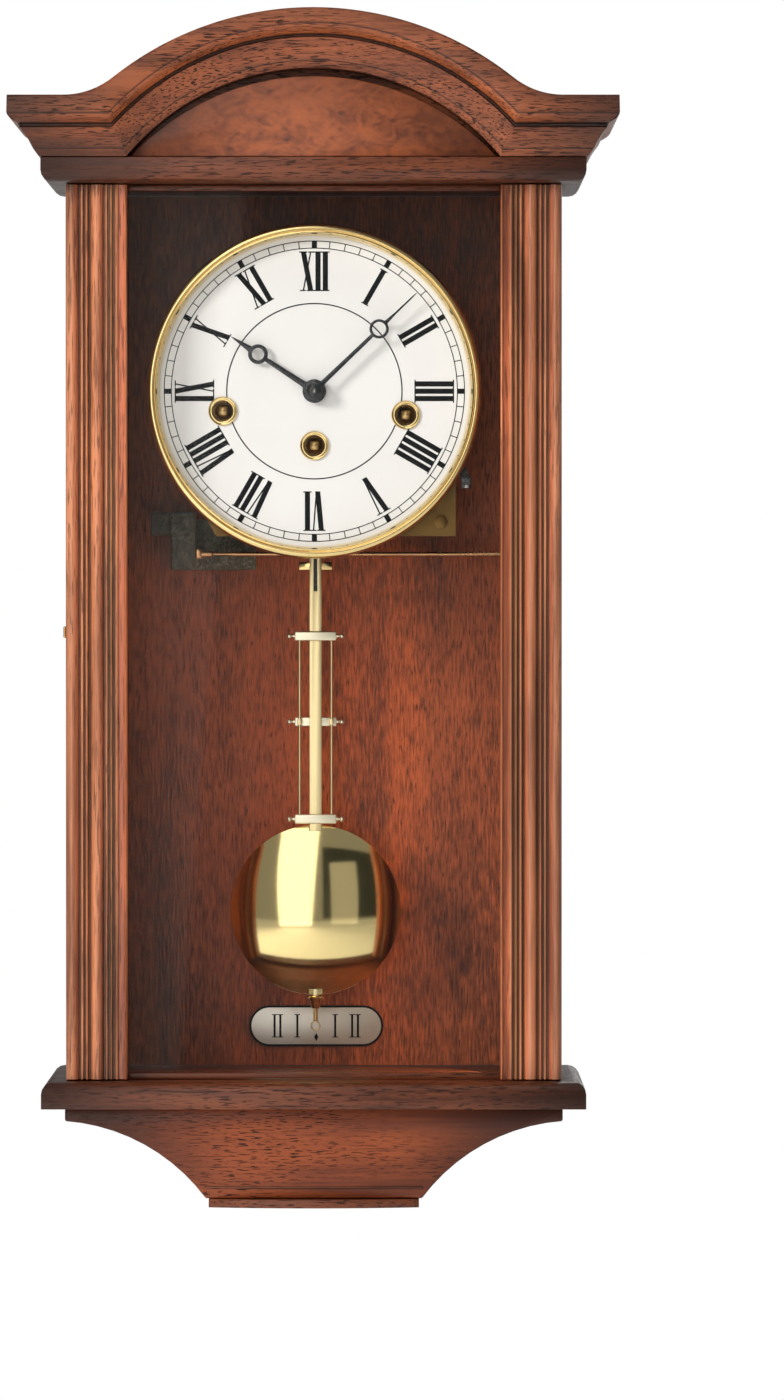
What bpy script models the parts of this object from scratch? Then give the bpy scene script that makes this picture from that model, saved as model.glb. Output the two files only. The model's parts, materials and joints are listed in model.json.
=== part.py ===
"""Key-wound wall clock with an arched crown, a reeded glass door, a brass lyre pendulum and quarter chimes.

Metres, +Z up. The clock faces -Y and its back lies on the plane y = 0. The origin is the top of the
keyhole slot that the clock hangs by. Heights are written above the clock's lowest edge, and level()
turns a height into a z.
"""

import math

import bmesh
import bpy
from mathutils import Matrix, Vector

mm = 0.001

# Clearances
gap = 0.3 * mm              # between pieces that touch or are glued
running_gap = 0.4 * mm      # round shafts and sliding pieces
door_gap = 0.8 * mm         # above and below the door

# Case
case_width = 249 * mm
case_depth = 111.5 * mm     # side panels, from the wall to the back of the door
carcass_height = 450.5 * mm # between the base board and the top board
side_thickness = 12 * mm
back_thickness = 8 * mm
base_thickness = 13.5 * mm
top_thickness = 12.5 * mm
board_overhang = 12 * mm    # both boards, past the door and past the sides
board_radius = 6 * mm

# Door
door_thickness = 20 * mm
stile_width = 30.75 * mm
rail_height = 2.6 * mm
glass_thickness = 2.2 * mm
rebate_depth = 6 * mm
hinge_radius = 4.5 * mm     # rounding of the hinge stile about its pivot
pivot_radius = 1.5 * mm
pivot_length = 6 * mm

# Crown
shoulder_height = 30 * mm
crown_projection = 16 * mm  # its top edge past the boards
arch_rise = 43.5 * mm
shoulder_run = 42.8 * mm    # corner of the crown to the foot of the arch
arch_fillet = 40 * mm
crown_board = 18 * mm       # from the moulding's lowest face to its back
ground_thickness = 11.7 * mm
tympanum_margin = 4 * mm
tympanum_recess = 3 * mm

# Apron
apron_height = 50 * mm
apron_thickness = 14 * mm
apron_ear = 6.7 * mm
foot_height = 4.2 * mm
foot_half_width = 54.3 * mm
apron_arc_radius = 96.4 * mm
cove_thickness = 8 * mm
foot_bow = 7 * mm

# Dial, measured from the dial's centre
dial_drop = 103.5 * mm      # top board to dial centre
dial_setback = 10.5 * mm    # front edge of the side panels to the face of the dial
dial_radius = 83 * mm
dial_thickness = 1.2 * mm
bezel_wall = 1.6 * mm       # past the dial's edge
bezel_lap = 4.6 * mm        # over the dial's face
bezel_height = 10 * mm
winding_holes = {
    "left": (-46.3 * mm, -10 * mm),
    "centre": (0 * mm, -27.5 * mm),
    "right": (46.2 * mm, -12 * mm),
}
collar_radius = 7.35 * mm
collar_bore = 5.3 * mm
minute_angle = math.radians(46.3)
hour_angle = math.radians(-56.8)
minute_length = 71.5 * mm
hour_length = 50 * mm
minute_ring_drop = 26.2 * mm # tip of the hand down to the middle of its ring
hour_ring_drop = 16 * mm
hand_thickness = 0.8 * mm

# Movement
plate_gap = 29.4 * mm       # between the two plates
plate_thickness = 2 * mm
motion_space = 11.2 * mm    # dial to front plate
pillar_radius = 3 * mm
arbor_radius = 3 * mm       # winding arbors
hand_arbor_radius = 1.5 * mm
stud_radius = 1 * mm        # studs of the minute wheel and of the silent lever
dial_foot_radius = 2 * mm
dial_feet = ((62 * mm, -30 * mm), (-62 * mm, -18 * mm), (-30 * mm, 34 * mm))
great_teeth = 72
great_pinion_leaves = 8
cannon_radius = 2.2 * mm
pipe_radius = 3.6 * mm
drum_radius = 20 * mm
motion_distance = 15 * mm   # hand arbor to minute wheel arbor
pallet_rise = 31.5 * mm     # dial centre up to the pallet arbor
escape_rise = 16.5 * mm
escape_radius = 10.5 * mm
crutch_length = 40 * mm
silent_pivot = (64 * mm, -14 * mm)

# Pendulum
pendulum_plane = 40 * mm    # from the wall
bob_radius = 43.7 * mm
bob_dome = 10 * mm
bob_rise = 82.2 * mm        # base board to the bob's centre
rod_width = 6.2 * mm
rod_thickness = 1.5 * mm
crossbar_height = 4.9 * mm
crossbar_half_length = 14.9 * mm
side_rod_spread = 8.2 * mm
side_rod_radius = 0.75 * mm
lyre_drop = 50.05 * mm      # top of the rod down to the lyre's upper crossbar
leader_drop = 88 * mm       # dial centre down to the leader's crossbar

# Chime
rod_spacing = 6 * mm
chime_rod_radius = 1.25 * mm
chime_drop = 81.9 * mm      # dial centre down to the rods
hammer_count = 4
hammer_length = 30 * mm
hammer_post_radius = 1.5 * mm
hammer_pivot = (36 * mm, -61.5 * mm)

# Hanger
hanger_drop = 22 * mm       # top board down to the top of the slot
hanger_width = 40 * mm
hanger_length = 26 * mm
hanger_thickness = 1.8 * mm
keyhole_radius = 5 * mm
keyhole_slot = 2.4 * mm
keyhole_drop = 10 * mm

# Beat plate
beat_plate_width = 69.4 * mm
beat_plate_height = 21.2 * mm
beat_plate_rise = 20.8 * mm # base board up to the plate's centre

# Places that follow from the sizes
half_case = case_width / 2
half_inner = half_case - side_thickness
half_board = half_case + board_overhang
base_top = apron_height + base_thickness
carcass_top = base_top + carcass_height
crown_base = carcass_top + top_thickness
crown_half = half_board + crown_projection
hanger_height = carcass_top - hanger_drop
hanger_low = -keyhole_drop - keyhole_radius - 4 * mm
door_back = case_depth + 0.5 * mm
door_front = door_back + door_thickness
board_front = door_front + board_overhang
door_low = base_top + door_gap
door_high = carcass_top - door_gap
hinge_x = half_case - hinge_radius
hinge_y = door_back + hinge_radius
glass_back = door_back + 6.8 * mm
door_opening = half_case - stile_width
dial_height = carcass_top - dial_drop
dial_front = case_depth - dial_setback
bezel_radius = dial_radius + bezel_wall
bezel_opening = dial_radius - bezel_lap
hour_hand_front = dial_front + 3.6 * mm
minute_hand_front = hour_hand_front + 3 * mm
pipe_bore = cannon_radius + running_gap
hour_bore = pipe_radius + gap
plate_front = dial_front - dial_thickness - motion_space - plate_thickness
plate_back = plate_front - plate_gap
movement_back = plate_back - plate_thickness
great_module = -2 * winding_holes["centre"][1] / (great_teeth + great_pinion_leaves)
great_layer = plate_front - 3.4 * mm
pallet_height = dial_height + pallet_rise
crutch_plane = movement_back - 6 * mm
leader_plane = pendulum_plane - 2 * mm
leader_foot = dial_height - leader_drop
bob_height = base_top + bob_rise

finishes = {
    "walnut": ((0.20, 0.055, 0.022), 0.35, 0.0),
    "dark_walnut": ((0.10, 0.030, 0.016), 0.35, 0.0),
    "burl": ((0.34, 0.11, 0.035), 0.30, 0.0),
    "brass": ((0.80, 0.60, 0.24), 0.18, 1.0),
    "satin_brass": ((0.78, 0.64, 0.34), 0.35, 1.0),
    "steel": ((0.55, 0.55, 0.56), 0.35, 1.0),
    "cast_iron": ((0.06, 0.055, 0.05), 0.75, 0.3),
    "bronze": ((0.50, 0.26, 0.12), 0.30, 1.0),
    "dial_white": ((0.88, 0.86, 0.82), 0.45, 0.0),
    "hand_black": ((0.01, 0.012, 0.016), 0.25, 0.3),
    "silver": ((0.72, 0.71, 0.70), 0.35, 1.0),
    "plastic": ((0.10, 0.05, 0.03), 0.5, 0.0),
    "glass": ((0.92, 0.95, 0.94), 0.02, 0.0),
}


def level(height):
    """z of a height above the clock's lowest edge."""
    return height - hanger_height


def start_scene():
    for old in list(bpy.data.objects):
        bpy.data.objects.remove(old, do_unlink=True)
    parts = bpy.data.collections.new("wall_clock")
    cutters = bpy.data.collections.new("wall_clock_cutters")
    for collection in (parts, cutters):
        bpy.context.scene.collection.children.link(collection)
    cutters.hide_render = True
    return parts, cutters


parts, cutters = start_scene()


def finish_material(name, finish):
    """Each sub-part's own material, in the colour of its finish."""
    colour, roughness, metallic = finishes[finish]
    material = bpy.data.materials.new(name)
    material.use_nodes = True
    shader = material.node_tree.nodes["Principled BSDF"]
    shader.inputs["Base Color"].default_value = (*colour, 1)
    shader.inputs["Roughness"].default_value = roughness
    shader.inputs["Metallic"].default_value = metallic
    if finish == "glass":
        shader.inputs["Transmission Weight"].default_value = 1
    material.diffuse_color = (*colour, 1)
    return material


def place(name, mesh, finish, location=(0, 0, 0), matrix=None):
    """A named part, or a cutter when it has no finish."""
    made = bpy.data.objects.new(name, mesh)
    made.matrix_world = Matrix.Translation(location) @ (matrix or Matrix())
    if finish:
        mesh.materials.append(finish_material(name, finish))
        parts.objects.link(made)
        mesh.shade_smooth()
        mesh.set_sharp_from_angle(angle=math.radians(30))
    else:
        cutters.objects.link(made)
        made.hide_render = True
        made.display_type = "WIRE"
    return made


def combine(target, tool, operation="DIFFERENCE"):
    """Boolean of a tool into a part. The tool becomes a hidden cutter."""
    modifier = target.modifiers.new(f"{operation.lower()}_{tool.name}", "BOOLEAN")
    modifier.operation = operation
    modifier.solver = "EXACT"
    modifier.object = tool


def box_mesh(low, high):
    low = Vector(low)
    high = Vector(high)
    mesh = bpy.data.meshes.new("box")
    shape = bmesh.new()
    bmesh.ops.create_cube(shape, size=1)
    bmesh.ops.scale(shape, vec=high - low, verts=shape.verts)
    bmesh.ops.translate(shape, vec=(low + high) / 2, verts=shape.verts)
    shape.to_mesh(mesh)
    shape.free()
    return mesh


def box(name, finish, low, high):
    return place(name, box_mesh(low, high), finish)


def round_edges(made, radius, chosen, segments=4):
    """Rounds the edges of a part whose midpoint passes the test."""
    shape = bmesh.new()
    shape.from_mesh(made.data)
    edges = [edge for edge in shape.edges if chosen((edge.verts[0].co + edge.verts[1].co) / 2)]
    bmesh.ops.bevel(shape, geom=edges, offset=radius, segments=segments, profile=0.5, affect="EDGES")
    shape.to_mesh(made.data)
    shape.free()
    made.data.shade_smooth()
    made.data.set_sharp_from_angle(angle=math.radians(30))


def cylinder(name, finish, radius, start, end, segments=24):
    """A round bar from one point to another."""
    start = Vector(start)
    end = Vector(end)
    mesh = bpy.data.meshes.new(name)
    shape = bmesh.new()
    bmesh.ops.create_cone(
        shape, cap_ends=True, segments=segments, radius1=radius, radius2=radius,
        depth=(end - start).length,
    )
    turn = (end - start).to_track_quat("Z", "Y").to_matrix().to_4x4()
    bmesh.ops.transform(shape, matrix=turn, verts=shape.verts)
    shape.to_mesh(mesh)
    shape.free()
    return place(name, mesh, finish, location=(start + end) / 2)


def flat_mesh(loops, thickness):
    """A flat outline with its holes, as a filled and extruded 2D curve made into a welded mesh."""
    curve = bpy.data.curves.new("outline", "CURVE")
    curve.dimensions = "2D"
    curve.fill_mode = "BOTH"
    curve.extrude = thickness / 2
    for loop in loops:
        spline = curve.splines.new("POLY")
        spline.points.add(len(loop) - 1)
        for point, (u, v) in zip(spline.points, loop):
            point.co = (u, v, 0, 1)
        spline.use_cyclic_u = True
    drawn = bpy.data.objects.new("outline", curve)
    parts.objects.link(drawn)
    bpy.context.view_layer.update()
    evaluated = drawn.evaluated_get(bpy.context.evaluated_depsgraph_get())
    mesh = bpy.data.meshes.new_from_object(evaluated)
    bpy.data.objects.remove(drawn)
    bpy.data.curves.remove(curve)
    shape = bmesh.new()
    shape.from_mesh(mesh)
    bmesh.ops.remove_doubles(shape, verts=shape.verts, dist=1e-6)
    bmesh.ops.recalc_face_normals(shape, faces=shape.faces)
    shape.to_mesh(mesh)
    shape.free()
    return mesh


# Stands a flat outline up: its first axis stays X, its second becomes Z, and it faces -Y.
upright = Matrix.Rotation(math.radians(90), 4, "X")


def front_plate_part(name, finish, loops, front, back, centre=(0, 0), turn=0.0):
    """An outline seen from the front, from one distance off the wall to another, turned clockwise."""
    place_at = (centre[0], -(front + back) / 2, centre[1])
    matrix = Matrix.Rotation(turn, 4, "Y") @ upright
    return place(name, flat_mesh(loops, front - back), finish, location=place_at, matrix=matrix)


def plan_part(name, finish, loops, bottom, top):
    """An outline seen from above, between two z values."""
    return place(name, flat_mesh(loops, top - bottom), finish, location=(0, 0, (bottom + top) / 2))


def signed_area(outline):
    """Area of an outline, positive when it runs anticlockwise."""
    ahead = outline[1:] + outline[:1]
    return sum(x1 * y2 - x2 * y1 for (x1, y1), (x2, y2) in zip(outline, ahead)) / 2


def turned(name, finish, profile, centre, closed=False, steps=48, upward=False):
    """A profile of (radius, distance off the wall) turned about Y, or (radius, height) about Z."""
    if signed_area(profile) > 0:
        profile = profile[::-1]
    mesh = bpy.data.meshes.new(name)
    shape = bmesh.new()
    verts = [shape.verts.new((radius, 0, along)) for radius, along in profile]
    ring = zip(verts, verts[1:] + verts[:1]) if closed else zip(verts, verts[1:])
    for first, second in ring:
        shape.edges.new((first, second))
    shape.to_mesh(mesh)
    shape.free()
    made = place(name, mesh, finish, location=centre, matrix=None if upward else upright)
    screw = made.modifiers.new("turn", "SCREW")
    screw.steps = steps
    screw.render_steps = steps
    screw.use_merge_vertices = True
    screw.merge_threshold = 0.00001
    return made


def loft(name, finish, sections):
    """A closed skin through sections of equal length, with an end face on the first and the last."""
    mesh = bpy.data.meshes.new(name)
    shape = bmesh.new()
    rows = [[shape.verts.new(point) for point in section] for section in sections]
    count = len(rows[0])
    for near, far in zip(rows, rows[1:]):
        for index in range(count):
            after = (index + 1) % count
            shape.faces.new((near[index], near[after], far[after], far[index]))
    shape.faces.new(reversed(rows[0]))
    shape.faces.new(rows[-1])
    bmesh.ops.recalc_face_normals(shape, faces=shape.faces)
    shape.to_mesh(mesh)
    shape.free()
    return place(name, mesh, finish)


def circle(radius, centre=(0, 0), segments=24):
    """Points of a circle, for a hole or a disc."""
    return [
        (
            centre[0] + radius * math.cos(2 * math.pi * step / segments),
            centre[1] + radius * math.sin(2 * math.pi * step / segments),
        )
        for step in range(segments)
    ]


def arc(centre, radius, first, last, steps):
    """Points on an arc between two angles in radians, both ends included."""
    points = []
    for step in range(steps + 1):
        angle = first + (last - first) * step / steps
        points.append((centre[0] + radius * math.cos(angle), centre[1] + radius * math.sin(angle)))
    return points


def mirrored(half):
    """A closed outline from its right half, listed from top to bottom."""
    return half + [(-x, y) for x, y in reversed(half) if abs(x) > 1e-9]


def arc_height(x, foot_x, foot_z, apex_z):
    """Height at x of the arc that springs from (foot_x, foot_z) and peaks on the centre line."""
    rise = apex_z - foot_z
    radius = (rise * rise + foot_x * foot_x) / (2 * rise)
    return apex_z - radius + math.sqrt(radius * radius - x * x)


def lowered_edge(middle, low_face, front):
    """True for the edges of a horizontal face that are seen: the front one and the two ends."""
    return abs(middle.z - low_face) < 1e-6 and middle.y < -gap and (
        abs(middle.y + front) < 1e-6 or abs(abs(middle.x) - half_board) < 1e-6
    )


def build_boards():
    """The base board and the top board, with the door's pivot holes in both."""
    base_z = level(base_top)
    base = box(
        "base_board", "walnut",
        (-half_board, -board_front, level(apron_height)), (half_board, 0, base_z),
    )
    round_edges(base, board_radius, lambda middle: lowered_edge(middle, base_z, board_front))
    top_z = level(carcass_top)
    top = box(
        "top_board", "walnut",
        (-half_board, -board_front, top_z), (half_board, 0, level(crown_base)),
    )
    round_edges(top, board_radius, lambda middle: lowered_edge(middle, top_z, board_front))
    for board, z, inward in ((base, base_z, -1), (top, top_z, 1)):
        hole = cylinder(
            f"{board.name}_pivot_hole", None, pivot_radius + gap,
            (hinge_x, -hinge_y, z - inward * mm), (hinge_x, -hinge_y, z + inward * (pivot_length + gap)),
        )
        combine(board, hole)


def build_panels():
    """Side panels and the back panel, with its pocket for the hanger plate and the screw head."""
    low = level(base_top) + gap
    high = level(carcass_top) - gap
    for side, sign in (("left", -1), ("right", 1)):
        inner, outer = sorted((sign * half_inner, sign * half_case))
        box(f"side_panel_{side}", "walnut", (inner, -case_depth, low), (outer, 0, high))
    back = box(
        "back_panel", "walnut",
        (-half_inner + gap, -back_thickness, low), (half_inner - gap, 0, high),
    )
    half_pocket = hanger_width / 2 + gap
    pocket = box(
        "hanger_pocket", None,
        (-half_pocket, -hanger_thickness - 2 * gap, hanger_low - gap),
        (half_pocket, mm, hanger_low + hanger_length + gap),
    )
    combine(back, pocket)
    head_room = keyhole_radius + gap
    hollow = box(
        "screw_head_hollow", None,
        (-head_room, -back_thickness + mm, -keyhole_drop - head_room), (head_room, mm, keyhole_slot + gap),
    )
    combine(back, hollow)


def build_hanger():
    """Steel keyhole plate let into the back panel. The slot's top is the clock's origin."""
    half = hanger_width / 2
    bottom = hanger_low
    top = hanger_low + hanger_length
    slot_angle = math.asin(keyhole_slot / keyhole_radius)
    slot = arc((0, -keyhole_slot), keyhole_slot, 0, math.pi, 8)
    hole = arc((0, -keyhole_drop), keyhole_radius, math.pi / 2 + slot_angle, 2.5 * math.pi - slot_angle, 20)
    front_plate_part(
        "hanger_plate", "steel",
        [[(-half, bottom), (half, bottom), (half, top), (-half, top)], slot + hole],
        hanger_thickness + gap, gap,
    )


def top_outline(x):
    """Height of the crown's top edge at a distance from the centre line."""
    shoulder = crown_base + shoulder_height
    foot = crown_half - shoulder_run
    radius = (arch_rise * arch_rise + foot * foot) / (2 * arch_rise)
    centre = shoulder + arch_rise - radius
    reach = radius + arch_fillet
    fillet_z = shoulder + arch_fillet
    fillet_x = math.sqrt(reach * reach - (fillet_z - centre) ** 2)
    x = abs(x)
    if x >= fillet_x:
        return shoulder
    if x > fillet_x * radius / reach:
        return fillet_z - math.sqrt(arch_fillet * arch_fillet - (fillet_x - x) ** 2)
    return centre + math.sqrt(radius * radius - x * x)


def crown_lines():
    """The moulding's lines: projection, shoulder height, height at the apex and mitre position."""
    shoulder = crown_base + shoulder_height
    apex = shoulder + arch_rise
    mitre = crown_half - 50.8 * mm
    out = crown_projection / 16
    down = shoulder_height / 30
    return [
        (16.0 * out, shoulder, apex, mitre + 6 * mm),
        (16.2 * out, shoulder - 9.2 * down, apex - 7.8 * down, mitre),
        (11.0 * out, shoulder - 13.5 * down, apex - 12.6 * down, mitre - 1.0 * mm),
        (9.8 * out, shoulder - 15.9 * down, apex - 14.5 * down, mitre - 1.4 * mm),
        (6.2 * out, shoulder - 20.9 * down, apex - 20.0 * down, mitre - 4.2 * mm),
        (3.4 * out, shoulder - 26.1 * down, apex - 25.7 * down, mitre - 6.8 * mm),
        (0.8 * out, crown_base + gap, apex - 29.0 * down, mitre - 8.2 * mm),
    ]


def crown_reach(line, along):
    """Distance from the centre line of a moulding line's point, along its arch from 0 to 1 at the mitre."""
    _, height, apex, mitre = line
    foot_angle = 2 * math.atan2(apex - height, mitre)
    return mitre * math.sin(foot_angle * along) / math.sin(foot_angle)


def crown_section(position):
    """Section of the front moulding.

    Position runs from -2 at the left corner to 2 at the right one, with the mitres at -1 and 1.
    """
    side = math.copysign(1, position)
    outward = max(abs(position) - 1, 0)
    along = min(abs(position), 1)
    section = []
    lines = crown_lines()
    for index, (projection, height, apex, mitre) in enumerate(lines):
        corner = half_board + projection
        x = crown_reach(lines[index], along) + (corner - mitre) * outward
        if index == 0:
            z = top_outline(x)
        elif outward:
            z = height
        else:
            z = arc_height(x, mitre, height, apex)
        section.append((side * x, -board_front - projection, level(z)))
    inner = half_board - crown_board
    back = board_front - crown_board
    bottom_x = crown_reach(lines[-1], along) + (inner - lines[-1][3]) * outward
    top_x = crown_reach(lines[0], along) + (inner - lines[0][3]) * outward
    section.append((side * bottom_x, -back, section[-1][2]))
    section.append((side * top_x, -back, level(top_outline(top_x))))
    return section


def build_crown():
    """Front moulding with its arch, two side returns, the ground board and the veneered tympanum."""
    arch_steps = 9
    shoulder_stops = [0, 0.12, 0.24, 0.36, 0.5, 1]
    right = [step / arch_steps for step in range(arch_steps)] + [1 + stop for stop in shoulder_stops]
    positions = [-position for position in reversed(right) if position > 0] + right
    loft("crown_moulding", "dark_walnut", [crown_section(position) for position in positions])
    back = board_front - crown_board
    inner = half_board - crown_board
    for side, sign in (("left", -1), ("right", 1)):
        front_end = []
        wall_end = []
        for projection, height, _, _ in crown_lines():
            x = sign * (half_board + projection)
            front_end.append((x, -board_front - projection + 2 * gap, level(height)))
            wall_end.append((x, 0, level(height)))
        for height in (crown_base + gap, crown_base + shoulder_height):
            front_end.append((sign * inner, -back + 2 * gap, level(height)))
            wall_end.append((sign * inner, 0, level(height)))
        loft(f"crown_return_{side}", "dark_walnut", [front_end, wall_end])

    half = inner - gap
    outline = [(half * step / 20, level(top_outline(half * step / 20))) for step in range(21)]
    outline.append((half, level(crown_base + gap)))
    front_plate_part(
        "pediment_board", "dark_walnut", [mirrored(outline)],
        back - gap, back - gap - ground_thickness,
    )
    _, foot, apex, mitre = crown_lines()[-1]
    half = mitre - tympanum_margin / 2
    apex = apex - tympanum_margin
    outline = []
    for step in range(15):
        x = half * math.sin(step / 14 * math.pi / 2)
        outline.append((x, level(arc_height(x, half, foot, apex))))
    front_plate_part(
        "tympanum_panel", "burl", [mirrored(outline)],
        board_front - tympanum_recess, back,
    )


def apron_curve(radius, lowest, highest, steps=10):
    """Points down the apron's hollow curve, or a line inside it, between two heights."""
    ear = (half_case + 0.5 * mm, apron_height - apron_ear)
    foot = (foot_half_width, foot_height + gap)
    chord = Vector(foot) - Vector(ear)
    middle = (Vector(foot) + Vector(ear)) / 2
    drop = math.sqrt(apron_arc_radius ** 2 - (chord.length / 2) ** 2)
    centre = middle + Vector((-chord.y, chord.x)).normalized() * drop
    if centre.y > middle.y:
        centre = 2 * middle - centre
    first = math.pi - math.asin(min(1, (highest - centre.y) / radius))
    if highest >= ear[1] and radius == apron_arc_radius:
        first = math.atan2(ear[1] - centre.y, ear[0] - centre.x)
    last = math.pi - math.asin((lowest - centre.y) / radius)
    return [(x, level(y)) for x, y in arc(centre, radius, first, last, steps)]


def build_apron():
    """The shaped front under the base board, the hollow side panels behind it and the bowed foot."""
    top = apron_height - gap
    foot = foot_height + gap
    ear_x = half_case + 0.5 * mm
    front = door_front
    back = door_front - apron_thickness
    curve = apron_curve(apron_arc_radius, foot, apron_height - apron_ear)
    front_plate_part(
        "apron_board", "walnut",
        [mirrored([(ear_x, level(top))] + curve)],
        front, back,
    )
    inside = apron_curve(apron_arc_radius + cove_thickness, foot, top)
    outline = [(ear_x, level(top))] + curve + list(reversed(inside))
    for side, sign in (("left", -1), ("right", 1)):
        front_plate_part(
            f"apron_side_{side}", "walnut", [[(sign * x, z) for x, z in outline]],
            back - gap, 0,
        )
    half = foot_half_width - 1.5 * mm
    bow = []
    for step in range(11):
        x = half * math.sin(step / 10 * math.pi / 2)
        bow.append((x, -front - foot_bow * (1 - (x / half) ** 2)))
    foot_board = plan_part(
        "foot_board", "walnut", [mirrored([(0, 0), (half, 0)] + bow[::-1])],
        level(0), level(foot_height),
    )
    soften = foot_board.modifiers.new("soften", "BEVEL")
    soften.width = 1.4 * mm
    soften.segments = 2
    soften.limit_method = "ANGLE"
    soften.angle_limit = math.radians(60)


def reeded_face():
    """A stile's front from its outer edge in: reeds that rise from a slightly hollow ground.

    A reed is its start, width and height. The row of them is fitted to the stile's width.
    """
    reeds = [
        (0.0, 6.6, 3.0), (7.4, 1.8, 1.9), (9.8, 1.8, 2.1), (12.2, 6.8, 3.0),
        (19.6, 1.8, 2.1), (22.0, 1.8, 1.9), (24.4, 2.2, 1.2), (29.35, 1.4, 2.0),
    ]
    row_end = reeds[-1][0] + reeds[-1][1]
    points = []
    for start, width, height in reeds:
        steps = 6 if width > 4 else 3
        for step in range(steps + 1):
            share = step / steps
            along = (start + width * share) / row_end * stile_width
            ground = 2.8 * mm + 0.4 * mm * math.sin(math.pi * along / stile_width)
            rise = height * mm * math.sqrt(max(0, 1 - (2 * share - 1) ** 2)) if 0 < step < steps else 0
            points.append((along, rise - ground))
    return points


def stile_outline(side, hinged):
    """Plan of a stile, right or left: reeded front, rebate for the glass, rounded back at the hinge."""
    outline = [(half_case - along, -(door_front + rise)) for along, rise in reeded_face()]
    rebate = glass_back + glass_thickness + gap
    outline += [
        (door_opening, -rebate),
        (door_opening + rebate_depth, -rebate),
        (door_opening + rebate_depth, -door_back),
    ]
    if hinged:
        outline += arc((hinge_x, -hinge_y), hinge_radius, math.pi / 2, 0, 6)
    else:
        outline.append((half_case, -door_back))
    return [(side * x, y) for x, y in outline]


def build_door():
    """Two reeded stiles, two slim rails, the glass, the pivots, the pull and the magnet catch."""
    low = level(door_low)
    high = level(door_high)
    plan_part("door_stile_left", "walnut", [stile_outline(-1, False)], low, high)
    hinge_stile = plan_part("door_stile_right", "walnut", [stile_outline(1, True)], low, high)
    for edge, z, inward in (("lower", low, 1), ("upper", high, -1)):
        hole = cylinder(
            f"pivot_hole_{edge}", None, pivot_radius + gap,
            (hinge_x, -hinge_y, z - inward * mm), (hinge_x, -hinge_y, z + inward * (pivot_length + gap)),
        )
        combine(hinge_stile, hole)
        cylinder(
            f"door_pivot_{edge}", "steel", pivot_radius,
            (hinge_x, -hinge_y, z - inward * (pivot_length + door_gap - gap)),
            (hinge_x, -hinge_y, z + inward * pivot_length), 16,
        )
        rail_z = sorted((z, z + inward * rail_height))
        box(
            f"door_rail_{edge}", "walnut",
            (-door_opening + gap, -glass_back - glass_thickness - 2 * mm, rail_z[0]),
            (door_opening - gap, -glass_back + 2 * mm, rail_z[1]),
        )
    glass_half = door_opening + rebate_depth - gap
    box(
        "door_glass", "glass",
        (-glass_half, -glass_back - glass_thickness, low + rail_height + gap),
        (glass_half, -glass_back, high - rail_height - gap),
    )
    pull_z = (low + high) / 2
    box(
        "door_pull", "brass",
        (-half_case - 1.5 * mm, -door_back - 12 * mm, pull_z - 3 * mm),
        (-half_case - gap, -door_back - 6 * mm, pull_z + 3 * mm),
    )
    box(
        "magnet_catch", "plastic",
        (-half_inner + gap, -case_depth + 0.5 * mm, pull_z - 8 * mm),
        (-half_inner + 9 * mm, -case_depth + 10 * mm, pull_z + 8 * mm),
    )


def build_dial():
    """White dial plate, brass bezel and the three winding collars."""
    centre = (0, level(dial_height))
    holes = [circle(collar_radius - 0.9 * mm, hole) for hole in winding_holes.values()]
    front_plate_part(
        "dial_plate", "dial_white",
        [circle(dial_radius, segments=60), circle(5 * mm, segments=20)] + holes,
        dial_front, dial_front - dial_thickness, centre,
    )
    lip = dial_front + gap
    profile = [
        (bezel_radius, dial_front - 5 * mm), (bezel_radius, lip + 4 * mm),
        (bezel_radius - 0.9 * mm, lip + 6.5 * mm), (bezel_radius - 2.4 * mm, lip + bezel_height - 0.8 * mm),
        (bezel_radius - 3.4 * mm, lip + bezel_height - 0.5 * mm), (bezel_radius - 4.2 * mm, lip + 7 * mm),
        (bezel_opening + 0.9 * mm, lip + 3.6 * mm), (bezel_opening, lip + 1 * mm), (bezel_opening, lip),
        (dial_radius + gap, lip), (dial_radius + gap, dial_front - 5 * mm),
    ]
    turned("bezel", "brass", profile, (0, 0, level(dial_height)), closed=True, steps=48)
    for side, (x, z) in winding_holes.items():
        tube = collar_radius - 1.2 * mm
        profile = [
            (tube, dial_front - dial_thickness - 0.5 * mm), (tube, dial_front + gap),
            (collar_radius, dial_front + gap), (collar_radius - 0.5 * mm, dial_front + 1.3 * mm),
            (collar_bore, dial_front + 1.3 * mm), (collar_bore, dial_front - dial_thickness - 0.5 * mm),
        ]
        turned(
            f"winding_collar_{side}", "brass", profile, (x, 0, level(dial_height) + z),
            closed=True, steps=20,
        )


def hand_outline(hub, arm, ring_at, ring, tip, length):
    """A hand that points up, with a ring on its arm and a slim point. Listed down its right side."""
    outline = [(0, length), (tip * 0.4, length - 1 * mm)]
    outline.append((tip, ring_at + ring + 4 * mm))
    top = math.acos(tip * 1.3 / ring)
    bottom = -math.acos(arm / 2 / ring)
    outline += arc((0, ring_at), ring, top, bottom, 10)
    outline += arc((0, 0), hub, math.acos(arm / 2 / hub), -math.pi / 2, 9)
    return mirrored(outline)


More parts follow.
